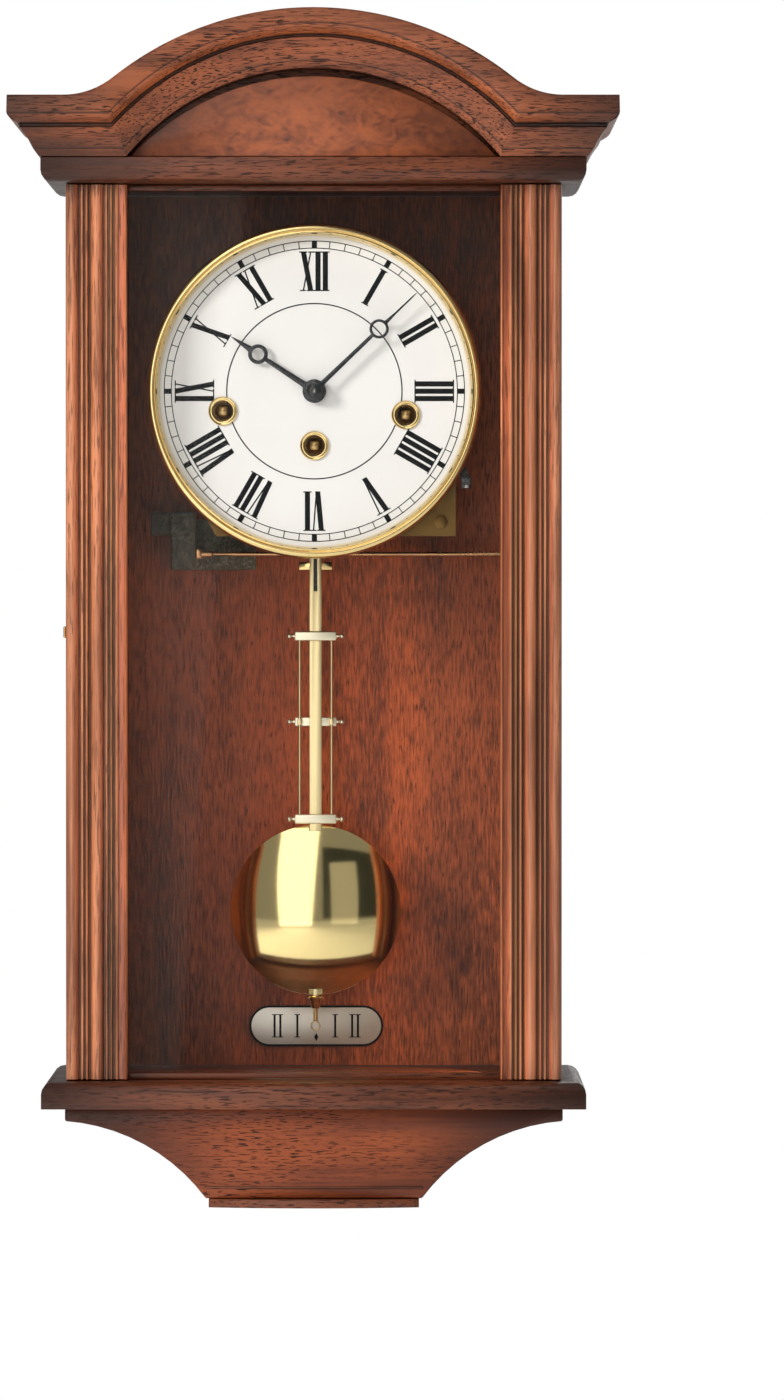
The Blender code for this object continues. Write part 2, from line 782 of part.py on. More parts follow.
def build_hands():
    """Hour hand, minute hand and the domed nut, at ten past ten."""
    centre = (0, level(dial_height))
    hour_ring = hour_length - hour_ring_drop
    minute_ring = minute_length - minute_ring_drop
    front_plate_part(
        "hour_hand", "hand_black",
        [
            hand_outline(6.0 * mm, 2.8 * mm, hour_ring, 5.0 * mm, 0.9 * mm, hour_length),
            circle(3.3 * mm, (0, hour_ring)), circle(hour_bore, segments=20),
        ],
        hour_hand_front, hour_hand_front - hand_thickness, centre, hour_angle,
    )
    front_plate_part(
        "minute_hand", "hand_black",
        [
            hand_outline(5.2 * mm, 2.2 * mm, minute_ring, 4.9 * mm, 0.6 * mm, minute_length),
            circle(3.3 * mm, (0, minute_ring)), circle(cannon_radius + gap, segments=20),
        ],
        minute_hand_front, minute_hand_front - hand_thickness, centre, minute_angle,
    )
    nut_back = minute_hand_front + gap
    thread = 1.1 * mm
    profile = [(thread + gap, nut_back), (4.2 * mm, nut_back), (4.0 * mm, nut_back + 1.2 * mm)]
    profile += [(2.9 * mm, nut_back + 2.2 * mm), (thread + gap, nut_back + 2.6 * mm)]
    turned("hand_nut", "hand_black", profile, (0, 0, centre[1]), closed=True, steps=24)


def wheel_outline(teeth, module, phase):
    """Outline of a toothed wheel, with one tooth centred on the phase angle."""
    pitch = 2 * math.pi / teeth
    root = module * teeth / 2 - 1.15 * module
    tip = module * teeth / 2 + 0.75 * module
    points = []
    for tooth in range(teeth):
        middle = phase + tooth * pitch
        for radius, share in ((root, -0.25), (tip, -0.08), (tip, 0.08), (root, 0.25)):
            angle = middle + share * pitch
            points.append((radius * math.cos(angle), radius * math.sin(angle)))
    return points


def ratchet_outline(teeth, root, tip):
    """Outline of a wheel with pointed, leaning teeth."""
    points = []
    for tooth in range(teeth):
        angle = 2 * math.pi * tooth / teeth
        points.append((tip * math.cos(angle), tip * math.sin(angle)))
        angle += 2 * math.pi / teeth * 0.35
        points.append((root * math.cos(angle), root * math.sin(angle)))
    return points


def from_dial(place_on_dial):
    """x and z of a place measured from the dial's centre."""
    x, z = place_on_dial
    return (x, level(dial_height) + z)


# The minute wheel's arbor, up and to the right of the hand arbor
minute_arbor = from_dial((motion_distance * math.cos(math.pi / 4), motion_distance * math.sin(math.pi / 4)))


def plate_outline():
    """Outline both plates share, cut away low on the left to clear the chime block."""
    low = dial_height - 73 * mm
    return [
        (-50 * mm, level(low)), (71.5 * mm, level(low)), (71.5 * mm, level(low + 30 * mm)),
        (68 * mm, level(low + 115 * mm)), (-68 * mm, level(low + 115 * mm)), (-68 * mm, level(low + 31 * mm)),
    ]


def pillar_places():
    low = dial_height - 73 * mm
    return [
        (-56 * mm, level(low + 26 * mm)), (64 * mm, level(low + 7 * mm)),
        (61 * mm, level(low + 108 * mm)), (-61 * mm, level(low + 108 * mm)),
    ]


def pivot_holes(radius):
    """Holes for the hand arbor, the escape arbor and the pallet arbor."""
    centre = level(dial_height)
    return [
        circle(radius + gap, (0, centre), 16),
        circle(1.0 * mm + gap, (0, centre + escape_rise), 12),
        circle(1.2 * mm + gap, (0, centre + pallet_rise), 12),
    ]


def build_plates():
    """Front plate with the dial's feet and two studs. Back plate with the pillars and the hammer post."""
    winding = [circle(arbor_radius + gap, from_dial(hole), 20) for hole in winding_holes.values()]
    pillars = [circle(pillar_radius + gap, spot, 16) for spot in pillar_places()]
    front = front_plate_part(
        "front_plate", "satin_brass", [plate_outline()] + winding + pillars + pivot_holes(hand_arbor_radius),
        plate_front + plate_thickness, plate_front,
    )
    face = plate_front + plate_thickness
    for index, spot in enumerate(dial_feet):
        x, z = from_dial(spot)
        foot = cylinder(
            f"dial_foot_{index}", None, dial_foot_radius,
            (x, -face + mm, z), (x, -dial_front + dial_thickness + gap, z), 12,
        )
        combine(front, foot, "UNION")
    for name, (x, z), reach in (
        ("minute_stud", minute_arbor, 8 * mm), ("lever_stud", from_dial(silent_pivot), 3 * mm),
    ):
        stud = cylinder(name, None, stud_radius, (x, -face + mm, z), (x, -face - reach, z), 12)
        combine(front, stud, "UNION")

    back = front_plate_part(
        "back_plate", "satin_brass", [plate_outline()] + winding + pivot_holes(hand_arbor_radius),
        plate_back, movement_back,
    )
    for index, (x, z) in enumerate(pillar_places()):
        pillar = cylinder(
            f"pillar_{index}", None, pillar_radius,
            (x, -plate_front - plate_thickness - mm, z), (x, -back_thickness - gap, z), 16,
        )
        combine(back, pillar, "UNION")
    post_x, post_z = from_dial(hammer_pivot)
    post = cylinder(
        "hammer_post", None, hammer_post_radius,
        (post_x, -movement_back - mm, post_z), (post_x, -hammer_plane(hammer_count - 1) + 4 * mm, post_z), 12,
    )
    combine(back, post, "UNION")


def build_barrels():
    """Mainspring barrels with their great wheels, and the winding arbors with ratchet wheels.

    The going barrel in the middle has its great wheel in front, where the hand arbor's pinion meets it. The
    strike and chime barrels have theirs behind. Each wheel sits on a low hub, clear of the drums beside it.
    """
    drum_back = plate_back + 6.6 * mm
    drum_front = plate_front - 5 * mm
    bore = arbor_radius + running_gap
    hub = drum_radius - 2 * mm
    for name, hole in winding_holes.items():
        x, z = from_dial(hole)
        if name == "centre":
            outline = wheel_outline(great_teeth, great_module, math.pi / 2)
            rim_front = great_layer + 0.9 * mm
            rim_back = drum_front + gap
            wheel_side, hub_end, plain_side = drum_front, drum_front + 2 * gap, drum_back
        else:
            outline = wheel_outline(32, 1.5 * mm, 0)
            rim_front = drum_back - gap
            rim_back = drum_back - 2 * mm
            wheel_side, hub_end, plain_side = drum_back, drum_back - 2 * gap, drum_front
        drum = turned(
            f"barrel_{name}", "satin_brass",
            [
                (drum_radius, plain_side), (drum_radius, wheel_side), (hub, wheel_side), (hub, hub_end),
                (bore, hub_end), (bore, plain_side),
            ],
            (x, 0, z), closed=True, steps=24,
        )
        rim = front_plate_part(
            f"great_wheel_{name}", None, [outline, circle(bore + 0.05 * mm, segments=20)],
            rim_front, rim_back, (x, z),
        )
        combine(drum, rim, "UNION")

        arbor = cylinder(
            f"winding_arbor_{name}", "steel", arbor_radius,
            (x, -movement_back + 0.5 * mm, z), (x, -plate_front - plate_thickness - 5 * mm, z), 20,
        )
        ratchet = front_plate_part(
            f"ratchet_wheel_{name}", None, [ratchet_outline(16, 6.6 * mm, 8 * mm)],
            plate_front + plate_thickness + 3.2 * mm, plate_front + plate_thickness + 1.2 * mm, (x, z),
        )
        combine(arbor, ratchet, "UNION")
        half = arbor_radius * 0.68
        square = box(
            f"winding_square_{name}", None,
            (x - half, -dial_front - 0.6 * mm, z - half),
            (x + half, -plate_front - plate_thickness - 4 * mm, z + half),
        )
        combine(arbor, square, "UNION")


def build_motion_work():
    """Hand arbor with its pinions and centre wheel, the minute wheel and the hour wheel on its pipe."""
    centre = level(dial_height)
    arbor = turned(
        "hand_arbor", "steel",
        [
            (0, movement_back - 1 * mm), (hand_arbor_radius, movement_back - 1 * mm),
            (hand_arbor_radius, plate_front + plate_thickness + 0.6 * mm),
            (cannon_radius, plate_front + plate_thickness + 0.6 * mm), (cannon_radius, minute_hand_front),
            (1.1 * mm, minute_hand_front), (1.1 * mm, minute_hand_front + 3.4 * mm),
            (0, minute_hand_front + 3.4 * mm),
        ],
        (0, 0, centre), steps=14,
    )
    leaf_phase = -math.pi / 2 + math.pi / great_pinion_leaves
    pinion = front_plate_part(
        "centre_pinion", None, [wheel_outline(great_pinion_leaves, great_module, leaf_phase)],
        great_layer + 1.2 * mm, great_layer - 1.6 * mm, (0, centre),
    )
    combine(arbor, pinion, "UNION")
    toward = math.pi / 4
    first = 2 * motion_distance / 48
    second = 2 * motion_distance / 50
    layer = plate_front + plate_thickness + 2.4 * mm
    cannon = front_plate_part(
        "cannon_pinion", None, [wheel_outline(12, first, toward)],
        layer + 0.9 * mm, layer - 0.9 * mm, (0, centre),
    )
    combine(arbor, cannon, "UNION")
    wheel = front_plate_part(
        "centre_wheel", None, [wheel_outline(30, 0.95 * mm, 0)],
        plate_back + 3.4 * mm, plate_back + 1.8 * mm, (0, centre),
    )
    combine(arbor, wheel, "UNION")

    stud_bore = stud_radius + running_gap
    minute_wheel = front_plate_part(
        "minute_wheel", "satin_brass",
        [wheel_outline(36, first, toward + math.pi + math.pi / 36), circle(stud_bore, segments=16)],
        layer + 0.7 * mm, layer - 0.7 * mm, minute_arbor,
    )
    leaf = front_plate_part(
        "minute_pinion", None,
        [wheel_outline(10, second, toward + math.pi), circle(stud_bore, segments=16)],
        layer + 4.4 * mm, layer + 0.3 * mm, minute_arbor,
    )
    combine(minute_wheel, leaf, "UNION")

    hour_layer = layer + 3.0 * mm
    pipe = turned(
        "hour_wheel", "satin_brass",
        [
            (pipe_radius, hour_layer - 0.8 * mm), (pipe_radius, hour_hand_front + 0.2 * mm),
            (pipe_bore, hour_hand_front + 0.2 * mm), (pipe_bore, hour_layer - 0.8 * mm),
        ],
        (0, 0, centre), closed=True, steps=20,
    )
    rim = front_plate_part(
        "hour_rim", None,
        [wheel_outline(40, second, toward + math.pi / 40), circle(pipe_bore + 0.4 * mm, segments=20)],
        hour_layer + 0.7 * mm, hour_layer - 0.6 * mm, (0, centre),
    )
    combine(pipe, rim, "UNION")


def build_escapement():
    """Escape wheel on its arbor, and the anchor on the pallet arbor with the crutch behind the plate."""
    centre = level(dial_height)
    escape = cylinder(
        "escape_wheel", "satin_brass", 1.0 * mm,
        (0, -movement_back + 0.4 * mm, centre + escape_rise),
        (0, -plate_front - plate_thickness + 0.4 * mm, centre + escape_rise), 12,
    )
    layer = (plate_front + plate_back) / 2 - 4 * mm
    teeth = front_plate_part(
        "escape_teeth", None, [ratchet_outline(24, escape_radius - 2.2 * mm, escape_radius)],
        layer + 0.7 * mm, layer - 0.7 * mm, (0, centre + escape_rise),
    )
    combine(escape, teeth, "UNION")

    pivot = centre + pallet_rise
    anchor = cylinder(
        "pallet_anchor", "steel", 1.2 * mm,
        (0, -crutch_plane + 1.2 * mm, pivot), (0, -plate_front - plate_thickness + 0.4 * mm, pivot), 12,
    )
    half = [(0, 4), (3, 2.5), (11, -4.5), (10.6, -8), (8.6, -5.8), (3, -1.8), (0, -2.6)]
    arms = front_plate_part(
        "anchor_arms", None, [mirrored([(x * mm, z * mm) for x, z in half])],
        layer + 1.2 * mm, layer - 1.2 * mm, (0, pivot),
    )
    combine(anchor, arms, "UNION")
    half = [(1.2 * mm, 2.4 * mm), (1.4 * mm, -crutch_length - 2 * mm)]
    crutch = front_plate_part(
        "crutch", None, [mirrored(half)],
        crutch_plane + 0.6 * mm, crutch_plane - 0.6 * mm, (0, pivot),
    )
    combine(anchor, crutch, "UNION")
    pin = cylinder(
        "crutch_pin", None, 0.7 * mm,
        (0, -crutch_plane, pivot - crutch_length), (0, -leader_plane + 2 * mm, pivot - crutch_length), 10,
    )
    combine(anchor, pin, "UNION")


def build_silent_lever():
    """Lever at the movement's right edge that silences the chime."""
    outline = [
        (-3, 3), (3, 3), (4.2, -8), (15.2, -30), (15.2, -35), (10.5, -35), (10.2, -29), (-1.5, -6), (-3, -1),
    ]
    front_plate_part(
        "silent_lever", "steel",
        [[(x * mm, z * mm) for x, z in outline], circle(stud_radius + running_gap, segments=12)],
        plate_front + plate_thickness + 2.4 * mm, plate_front + plate_thickness + 0.9 * mm,
        from_dial(silent_pivot),
    )


def knobbed_bar(height):
    """Right half of a crossbar's outline, with the turned knob on its end."""
    half = height / 2
    body = side_rod_spread + 2.8 * mm
    reach = crossbar_half_length
    upper = [
        (body, half), (body, 1.0 * mm), (reach - 2.6 * mm, 0.8 * mm),
        (reach - 1.9 * mm, 1.5 * mm), (reach - 0.7 * mm, 1.4 * mm), (reach, 0.6 * mm),
    ]
    return upper + [(x, -z) for x, z in reversed(upper)]


def build_suspension():
    """The cock on the back plate and the leader that hangs from it, spring and crossbar in one strip."""
    pivot = level(pallet_height)
    box(
        "suspension_cock", "satin_brass",
        (-5 * mm, -movement_back + gap, pivot + 5 * mm), (5 * mm, -leader_plane + 2.4 * mm, pivot + 11 * mm),
    )
    foot = level(leader_foot)
    outline = mirrored([
        (0, pivot + 4.2 * mm), (1.4 * mm, pivot + 4.2 * mm), (1.4 * mm, pivot - 9 * mm),
        (2.2 * mm, pivot - 11 * mm), (2.2 * mm, foot + 2 * mm), (8.4 * mm, foot + 2 * mm),
        (8.4 * mm, foot - 2 * mm), (0, foot - 2 * mm),
    ])
    front_plate_part(
        "pendulum_leader", "brass", [outline, circle(1.1 * mm, (0, pivot - crutch_length), 12)],
        leader_plane + 0.6 * mm, leader_plane - 0.6 * mm,
    )


def build_pendulum():
    """Slotted rod with its threaded tail, the lyre frame, the bob and the rating nut."""
    top = level(leader_foot) + 14 * mm
    bob = level(bob_height)
    tail_top = bob - bob_radius + 4 * mm
    tail_end = bob - bob_radius - 15.9 * mm
    half = rod_width / 2
    thread = 1.2 * mm
    rod = pendulum_plane + 0.6 * mm
    slot_top = top - 4 * mm
    slot = [
        (-0.8 * mm, slot_top - 23 * mm), (0.8 * mm, slot_top - 23 * mm),
        (0.8 * mm, slot_top), (-0.8 * mm, slot_top),
    ]
    outline = [(half, top), (half, tail_top), (thread, tail_top - 1 * mm), (thread, tail_end + 2.2 * mm)]
    outline += arc((0, tail_end), 2.6 * mm, math.radians(58), -math.pi / 2, 6)
    front_plate_part(
        "pendulum_rod", "brass", [mirrored(outline), slot, circle(1.3 * mm, (0, tail_end), 10)],
        rod, rod - rod_thickness,
    )

    front = rod + gap
    low = bob + bob_radius + 0.6 * mm + crossbar_height / 2
    high = top - lyre_drop
    heights = (low, low + (high - low) * 0.531, high)
    lyre = front_plate_part(
        "lyre_frame", "brass", [mirrored(knobbed_bar(crossbar_height))],
        front + 2.3 * mm, front, (0, heights[2]),
    )
    lower = front_plate_part(
        "lower_crossbar", None, [mirrored(knobbed_bar(crossbar_height))],
        front + 2.3 * mm, front, (0, heights[0]),
    )
    combine(lyre, lower, "UNION")
    behind = rod - rod_thickness - gap
    middle = front_plate_part(
        "middle_crossbar", None, [mirrored(knobbed_bar(crossbar_height))],
        behind, behind - 2.3 * mm, (0, heights[1]),
    )
    combine(lyre, middle, "UNION")
    rod_plane = front + 0.1 * mm
    for side in (-1, 1):
        x = side * side_rod_spread
        side_rod = cylinder(
            f"lyre_rod_{side}", None, side_rod_radius,
            (x, -rod_plane, heights[0]), (x, -rod_plane, heights[2]), 10,
        )
        combine(lyre, side_rod, "UNION")
        bridge = box(
            f"lyre_bridge_{side}", None,
            (x - 1.3 * mm, -rod_plane - 0.9 * mm, heights[1] - 1.6 * mm),
            (x + 1.3 * mm, -behind + 0.8 * mm, heights[1] + 1.6 * mm),
        )
        combine(lyre, bridge, "UNION")

    face = rod + 9.4 * mm
    back = rod - rod_thickness - 2.4 * mm
    dome_radius = (bob_radius ** 2 + bob_dome ** 2) / (2 * bob_dome)
    profile = [(0, back), (bob_radius - 0.8 * mm, back), (bob_radius, back + 0.8 * mm)]
    for step in range(7):
        radius = bob_radius * (1 - step / 6)
        rise = math.sqrt(dome_radius ** 2 - radius ** 2) - dome_radius
        profile.append((radius, face + rise))
    disc = turned("pendulum_bob", "brass", profile, (0, 0, bob), steps=40)
    channel = box(
        "bob_channel", None,
        (-half - gap, -rod - gap, bob - bob_radius - mm),
        (half + gap, -rod + rod_thickness + gap, bob + bob_radius + mm),
    )
    combine(disc, channel)
    nut_top = bob - bob_radius - 0.5 * mm
    turned(
        "rating_nut", "brass",
        [
            (1.8 * mm, nut_top), (4.0 * mm, nut_top), (4.2 * mm, nut_top - 1.2 * mm),
            (3.0 * mm, nut_top - 3.4 * mm), (2.4 * mm, nut_top - 6.4 * mm), (1.8 * mm, nut_top - 6.4 * mm),
        ],
        (0, -rod + rod_thickness / 2, 0), closed=True, steps=20, upward=True,
    )


def hammer_plane(index):
    """Distance off the wall of a chime rod and of the hammer over it."""
    return back_thickness + 7 * mm + rod_spacing * index


def build_chime():
    """Cast block on the back panel, its set of bronze rods, and the hammers on their post."""
    z = level(dial_height - chime_drop)
    left = -62 * mm
    far = hammer_plane(hammer_count - 1) + 3 * mm
    block = box(
        "chime_block", "cast_iron",
        (left - 12.5 * mm, -far, z - 8.2 * mm), (left, -back_thickness - gap, z + 21.6 * mm),
    )
    ear = box(
        "chime_block_ear", None,
        (left - 23 * mm, -far + 4 * mm, z + 9.8 * mm), (left - 12 * mm, -back_thickness - gap, z + 21.6 * mm),
    )
    combine(block, ear, "UNION")
    flange = box(
        "chime_block_flange", None,
        (left - 1 * mm, -back_thickness - 3.4 * mm, z - 8.2 * mm),
        (left + 31 * mm, -back_thickness - gap, z + 17.5 * mm),
    )
    combine(block, flange, "UNION")

    bar = box(
        "chime_rods", "bronze",
        (left + gap, -far + 0.5 * mm, z - 2.4 * mm),
        (left + 3.4 * mm, -hammer_plane(0) + 2.5 * mm, z + 2.4 * mm),
    )
    for index in range(hammer_count):
        rod = cylinder(
            f"chime_rod_{index}", None, chime_rod_radius,
            (left + 2 * mm, -hammer_plane(index), z),
            (half_inner - 5 * mm - 4 * mm * index, -hammer_plane(index), z), 12,
        )
        combine(bar, rod, "UNION")

    arm = 1.2 * mm
    pivot = from_dial(hammer_pivot)
    head_low = z + chime_rod_radius + 2.4 * mm - pivot[1]
    outline = arc((0, 0), 3.4 * mm, math.radians(200), math.radians(520), 14)
    outline += [
        (-hammer_length + 4.5 * mm, head_low + 6 * mm), (-hammer_length + 4.5 * mm, head_low + 9 * mm),
        (-hammer_length - 4.5 * mm, head_low + 9 * mm), (-hammer_length - 4.5 * mm, head_low),
        (-hammer_length + 4.5 * mm, head_low), (-hammer_length + 4.5 * mm, head_low + 6 * mm - 2 * arm),
    ]
    for index in range(hammer_count):
        plane = hammer_plane(index)
        front_plate_part(
            f"hammer_{index + 1}", "steel",
            [outline, circle(hammer_post_radius + running_gap, segments=14)],
            plane + 2.2 * mm, plane - 2.2 * mm, pivot,
        )


def build_beat_plate():
    """Silvered beat scale, a stadium, on the back panel under the bob."""
    radius = beat_plate_height / 2
    straight = beat_plate_width / 2 - radius
    outline = arc((straight, 0), radius, -math.pi / 2, math.pi / 2, 12)
    outline += arc((-straight, 0), radius, math.pi / 2, 1.5 * math.pi, 12)
    front_plate_part(
        "beat_plate", "silver", [outline],
        back_thickness + gap + mm, back_thickness + gap, (0, level(base_top + beat_plate_rise)),
    )


build_boards()
build_panels()
build_hanger()
build_crown()
build_apron()
build_door()
build_dial()
build_hands()
build_plates()
build_barrels()
build_motion_work()
build_escapement()
build_silent_lever()
build_suspension()
build_pendulum()
build_chime()
build_beat_plate()
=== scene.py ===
# Looks of the pendulum wall clock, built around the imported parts.
# Everything is in metres: x to the right, the front faces -y, z up.
import functools
import json
import math

import bmesh
import bpy
from mathutils import Matrix, Vector


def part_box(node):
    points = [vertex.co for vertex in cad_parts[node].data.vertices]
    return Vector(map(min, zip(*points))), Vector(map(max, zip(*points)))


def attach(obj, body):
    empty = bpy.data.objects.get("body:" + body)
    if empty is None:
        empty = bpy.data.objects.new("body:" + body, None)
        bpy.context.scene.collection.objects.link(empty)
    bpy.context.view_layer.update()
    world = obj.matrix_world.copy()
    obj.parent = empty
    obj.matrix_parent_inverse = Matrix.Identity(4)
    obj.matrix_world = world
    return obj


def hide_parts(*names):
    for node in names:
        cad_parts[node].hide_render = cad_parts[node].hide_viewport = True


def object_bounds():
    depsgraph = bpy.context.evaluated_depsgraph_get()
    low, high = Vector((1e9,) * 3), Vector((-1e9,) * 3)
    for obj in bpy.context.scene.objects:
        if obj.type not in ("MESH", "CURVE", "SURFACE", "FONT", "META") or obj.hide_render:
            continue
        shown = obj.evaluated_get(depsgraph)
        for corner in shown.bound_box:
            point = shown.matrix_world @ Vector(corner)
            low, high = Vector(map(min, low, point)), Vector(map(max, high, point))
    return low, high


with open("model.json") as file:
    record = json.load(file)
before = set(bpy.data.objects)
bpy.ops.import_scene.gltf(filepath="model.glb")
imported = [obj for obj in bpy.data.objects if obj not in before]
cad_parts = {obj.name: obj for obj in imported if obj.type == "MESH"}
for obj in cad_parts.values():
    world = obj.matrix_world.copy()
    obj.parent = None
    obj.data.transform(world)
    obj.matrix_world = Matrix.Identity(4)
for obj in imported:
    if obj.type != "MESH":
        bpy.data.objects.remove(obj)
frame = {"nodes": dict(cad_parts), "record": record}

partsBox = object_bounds()
bodyOf = {node: body for body, nodes in frame["record"]["behaviour"]["bodies"].items() for node in nodes}
slotOf = {part["node"]: part["material_slot"] for part in frame["record"]["subparts"]}
print("parts loaded:", len(bodyOf))


# Shader maths: number sockets that add, multiply and compare like plain numbers

class Signal:
    def __init__(self, paint, socket):
        self.paint = paint
        self.socket = socket

    def maths(self, operation, first, second=None):
        values = {0: first} if second is None else {0: first, 1: second}
        return self.paint.node("ShaderNodeMath", {"operation": operation}, values)

    def __add__(self, other):
        return self.maths("ADD", self, other)

    def __sub__(self, other):
        return self.maths("SUBTRACT", self, other)

    def __rsub__(self, other):
        return self.maths("SUBTRACT", other, self)

    def __mul__(self, other):
        return self.maths("MULTIPLY", self, other)

    def __abs__(self):
        return self.maths("ABSOLUTE", self)

    __radd__ = __add__
    __rmul__ = __mul__

    def softStep(self, low, high):  # 0 below low, 1 above high, and smooth between
        return self.paint.node("ShaderNodeMapRange", {"interpolation_type": "SMOOTHSTEP"}, {0: self, 1: low, 2: high})


class Paint:
    def __init__(self, name):
        self.material = bpy.data.materials.new(name)
        self.material.use_nodes = True
        self.tree = self.material.node_tree
        self.shader = self.tree.nodes["Principled BSDF"]
        self.places = {}

    def node(self, kind, settings=None, sockets=None, output=0):
        return Signal(self, addNode(self.tree, kind, settings, sockets).outputs[output])

    def spot(self, scale=(1, 1, 1)):  # object coordinates, stretched
        if scale not in self.places:
            raw = self.node("ShaderNodeTexCoord", output="Object")
            self.places[scale] = self.node("ShaderNodeMapping", None, {"Vector": raw, "Scale": scale})
        return self.places[scale]

    def axis(self, letter):  # one coordinate in metres
        return self.node("ShaderNodeSeparateXYZ", None, {0: self.spot()}, "XYZ".index(letter))

    def noise(self, stretch, detail=3.0, roughness=0.5, distortion=0.0):
        return self.node("ShaderNodeTexNoise", None, {
            "Vector": self.spot(stretch), "Scale": 1.0, "Detail": detail, "Roughness": roughness,
            "Distortion": distortion,
        })

    def ramp(self, value, stops):
        return self.node("ShaderNodeValToRGB", {"stops": stops}, {0: value})

    def blend(self, share, under, over, how="MIX"):
        return self.node("ShaderNodeMix", {"data_type": "RGBA", "blend_type": how}, {0: share, 6: under, 7: over}, 2)

    def bump(self, height, distance, strength=1.0):
        sockets = {"Height": height, "Distance": distance, "Strength": strength}
        feed(self.tree, self.shader.inputs["Normal"], self.node("ShaderNodeBump", None, sockets))

    def set(self, **sockets):  # sockets of the surface shader, by name with underscores for spaces
        for key, value in sockets.items():
            feed(self.tree, self.shader.inputs[key.replace("_", " ")], value)
        return self.material


def addNode(tree, kind, settings=None, sockets=None):
    made = tree.nodes.new(kind)
    for key, value in (settings or {}).items():
        if key == "stops":
            setStops(made.color_ramp, value)
        else:
            setattr(made, key, value)
    for key, value in (sockets or {}).items():
        feed(tree, made.inputs[key], value)
    return made


def feed(tree, target, value):
    value = getattr(value, "socket", value)
    if isinstance(value, bpy.types.NodeSocket):
        tree.links.new(value, target)
    else:
        target.default_value = rgb(value) if target.type == "RGBA" else value


def setStops(ramp, stops):
    while len(ramp.elements) > 1:
        ramp.elements.remove(ramp.elements[-1])
    for index, (at, colour) in enumerate(stops):
        element = ramp.elements[0] if index == 0 else ramp.elements.new(at)
        element.position = at
        element.color = rgb(colour)


def rgb(colour):
    return (*colour, 1.0)


def scaled(colour, factor):
    return tuple(channel * factor for channel in colour)


# Wood: long figure, fine streaks and short open pores, all along the grain

woods = {
    "panelWalnut": {
        "grain": "z", "light": (0.34, 0.10, 0.04), "dark": (0.14, 0.042, 0.018), "pores": 0.5, "figure": 0.9,
        "poreLength": 9.0, "gloss": 0.42, "coat": 0.08,
    },
    "stileWalnut": {
        "grain": "z", "light": (0.5, 0.19, 0.092), "dark": (0.21, 0.075, 0.036), "pores": 0.6, "figure": 0.9,
        "poreLength": 14.0, "gloss": 0.33, "coat": 0.45,
    },
    "boardWalnut": {
        "grain": "x", "light": (0.155, 0.042, 0.016), "dark": (0.062, 0.017, 0.008), "pores": 0.85, "figure": 1.0,
        "poreLength": 8.0, "gloss": 0.38, "coat": 0.12, "ends": (0.06, 0.14),
    },
    "apronWalnut": {
        "grain": "x", "light": (0.25, 0.052, 0.0115), "dark": (0.12, 0.024, 0.007), "pores": 1.0, "figure": 0.8,
        "poreLength": 6.5, "gloss": 0.4, "coat": 0.1, "ends": (0.035, 0.105),
    },
    "crownWalnut": {
        "grain": "x", "light": (0.3, 0.085, 0.031), "dark": (0.125, 0.035, 0.014), "pores": 0.95, "figure": 1.0,
        "poreLength": 7.0, "gloss": 0.38, "coat": 0.14, "ends": (0.085, 0.16),
    },
    "sideWalnut": {
        "grain": "y", "light": (0.2, 0.062, 0.028), "dark": (0.08, 0.026, 0.014), "pores": 0.9, "figure": 0.9,
        "poreLength": 9.0, "gloss": 0.4, "coat": 0.12,
    },
}


# Painted light over a moulding's members, as a colour factor: painted highlights on the rounded members and painted
# shade in the grooves, over a little variation in staining; the crown from its top edge down, a stile from its outer
# edge in
memberStainAndLight = {
    "crown": [
        (0.0, (0.8, 0.8, 0.82)), (0.15, (0.95, 0.95, 0.95)), (0.17, (0.2, 0.18, 0.2)), (0.19, (1.25, 1.2, 1.1)),
        (0.32, (1.35, 1.25, 1.1)), (0.345, (0.14, 0.14, 0.15)), (0.48, (0.26, 0.27, 0.3)), (0.51, (1.0, 0.94, 0.9)),
        (0.66, (1.05, 0.98, 0.95)), (0.81, (0.85, 0.85, 0.88)), (0.83, (0.2, 0.2, 0.2)), (0.85, (1.05, 1.0, 0.95)),
        (1.0, (0.75, 0.7, 0.66)),
    ],
    "stile": [
        (0.0, (0.8, 0.85, 0.9)), (0.1, (1.1, 1.1, 1.1)), (0.2, (0.95, 0.7, 0.6)), (0.228, (0.22, 0.2, 0.2)),
        (0.27, (1.3, 1.35, 1.3)), (0.31, (0.25, 0.22, 0.2)), (0.34, (1.1, 0.95, 0.75)), (0.39, (0.3, 0.26, 0.26)),
        (0.45, (1.1, 1.0, 0.85)), (0.52, (1.15, 1.15, 1.2)), (0.6, (1.05, 0.75, 0.6)), (0.629, (0.25, 0.22, 0.2)),
        (0.68, (1.25, 1.25, 1.15)), (0.71, (0.3, 0.27, 0.25)), (0.745, (0.8, 0.85, 0.65)), (0.79, (0.3, 0.28, 0.3)),
        (0.84, (1.2, 1.2, 1.1)), (0.88, (1.1, 0.75, 0.6)), (0.95, (1.0, 0.7, 0.55)), (1.0, (1.3, 1.2, 1.1)),
    ],
}


def alongGrain(grain, along, across):
    return tuple(along if letter == grain else across for letter in "xyz")


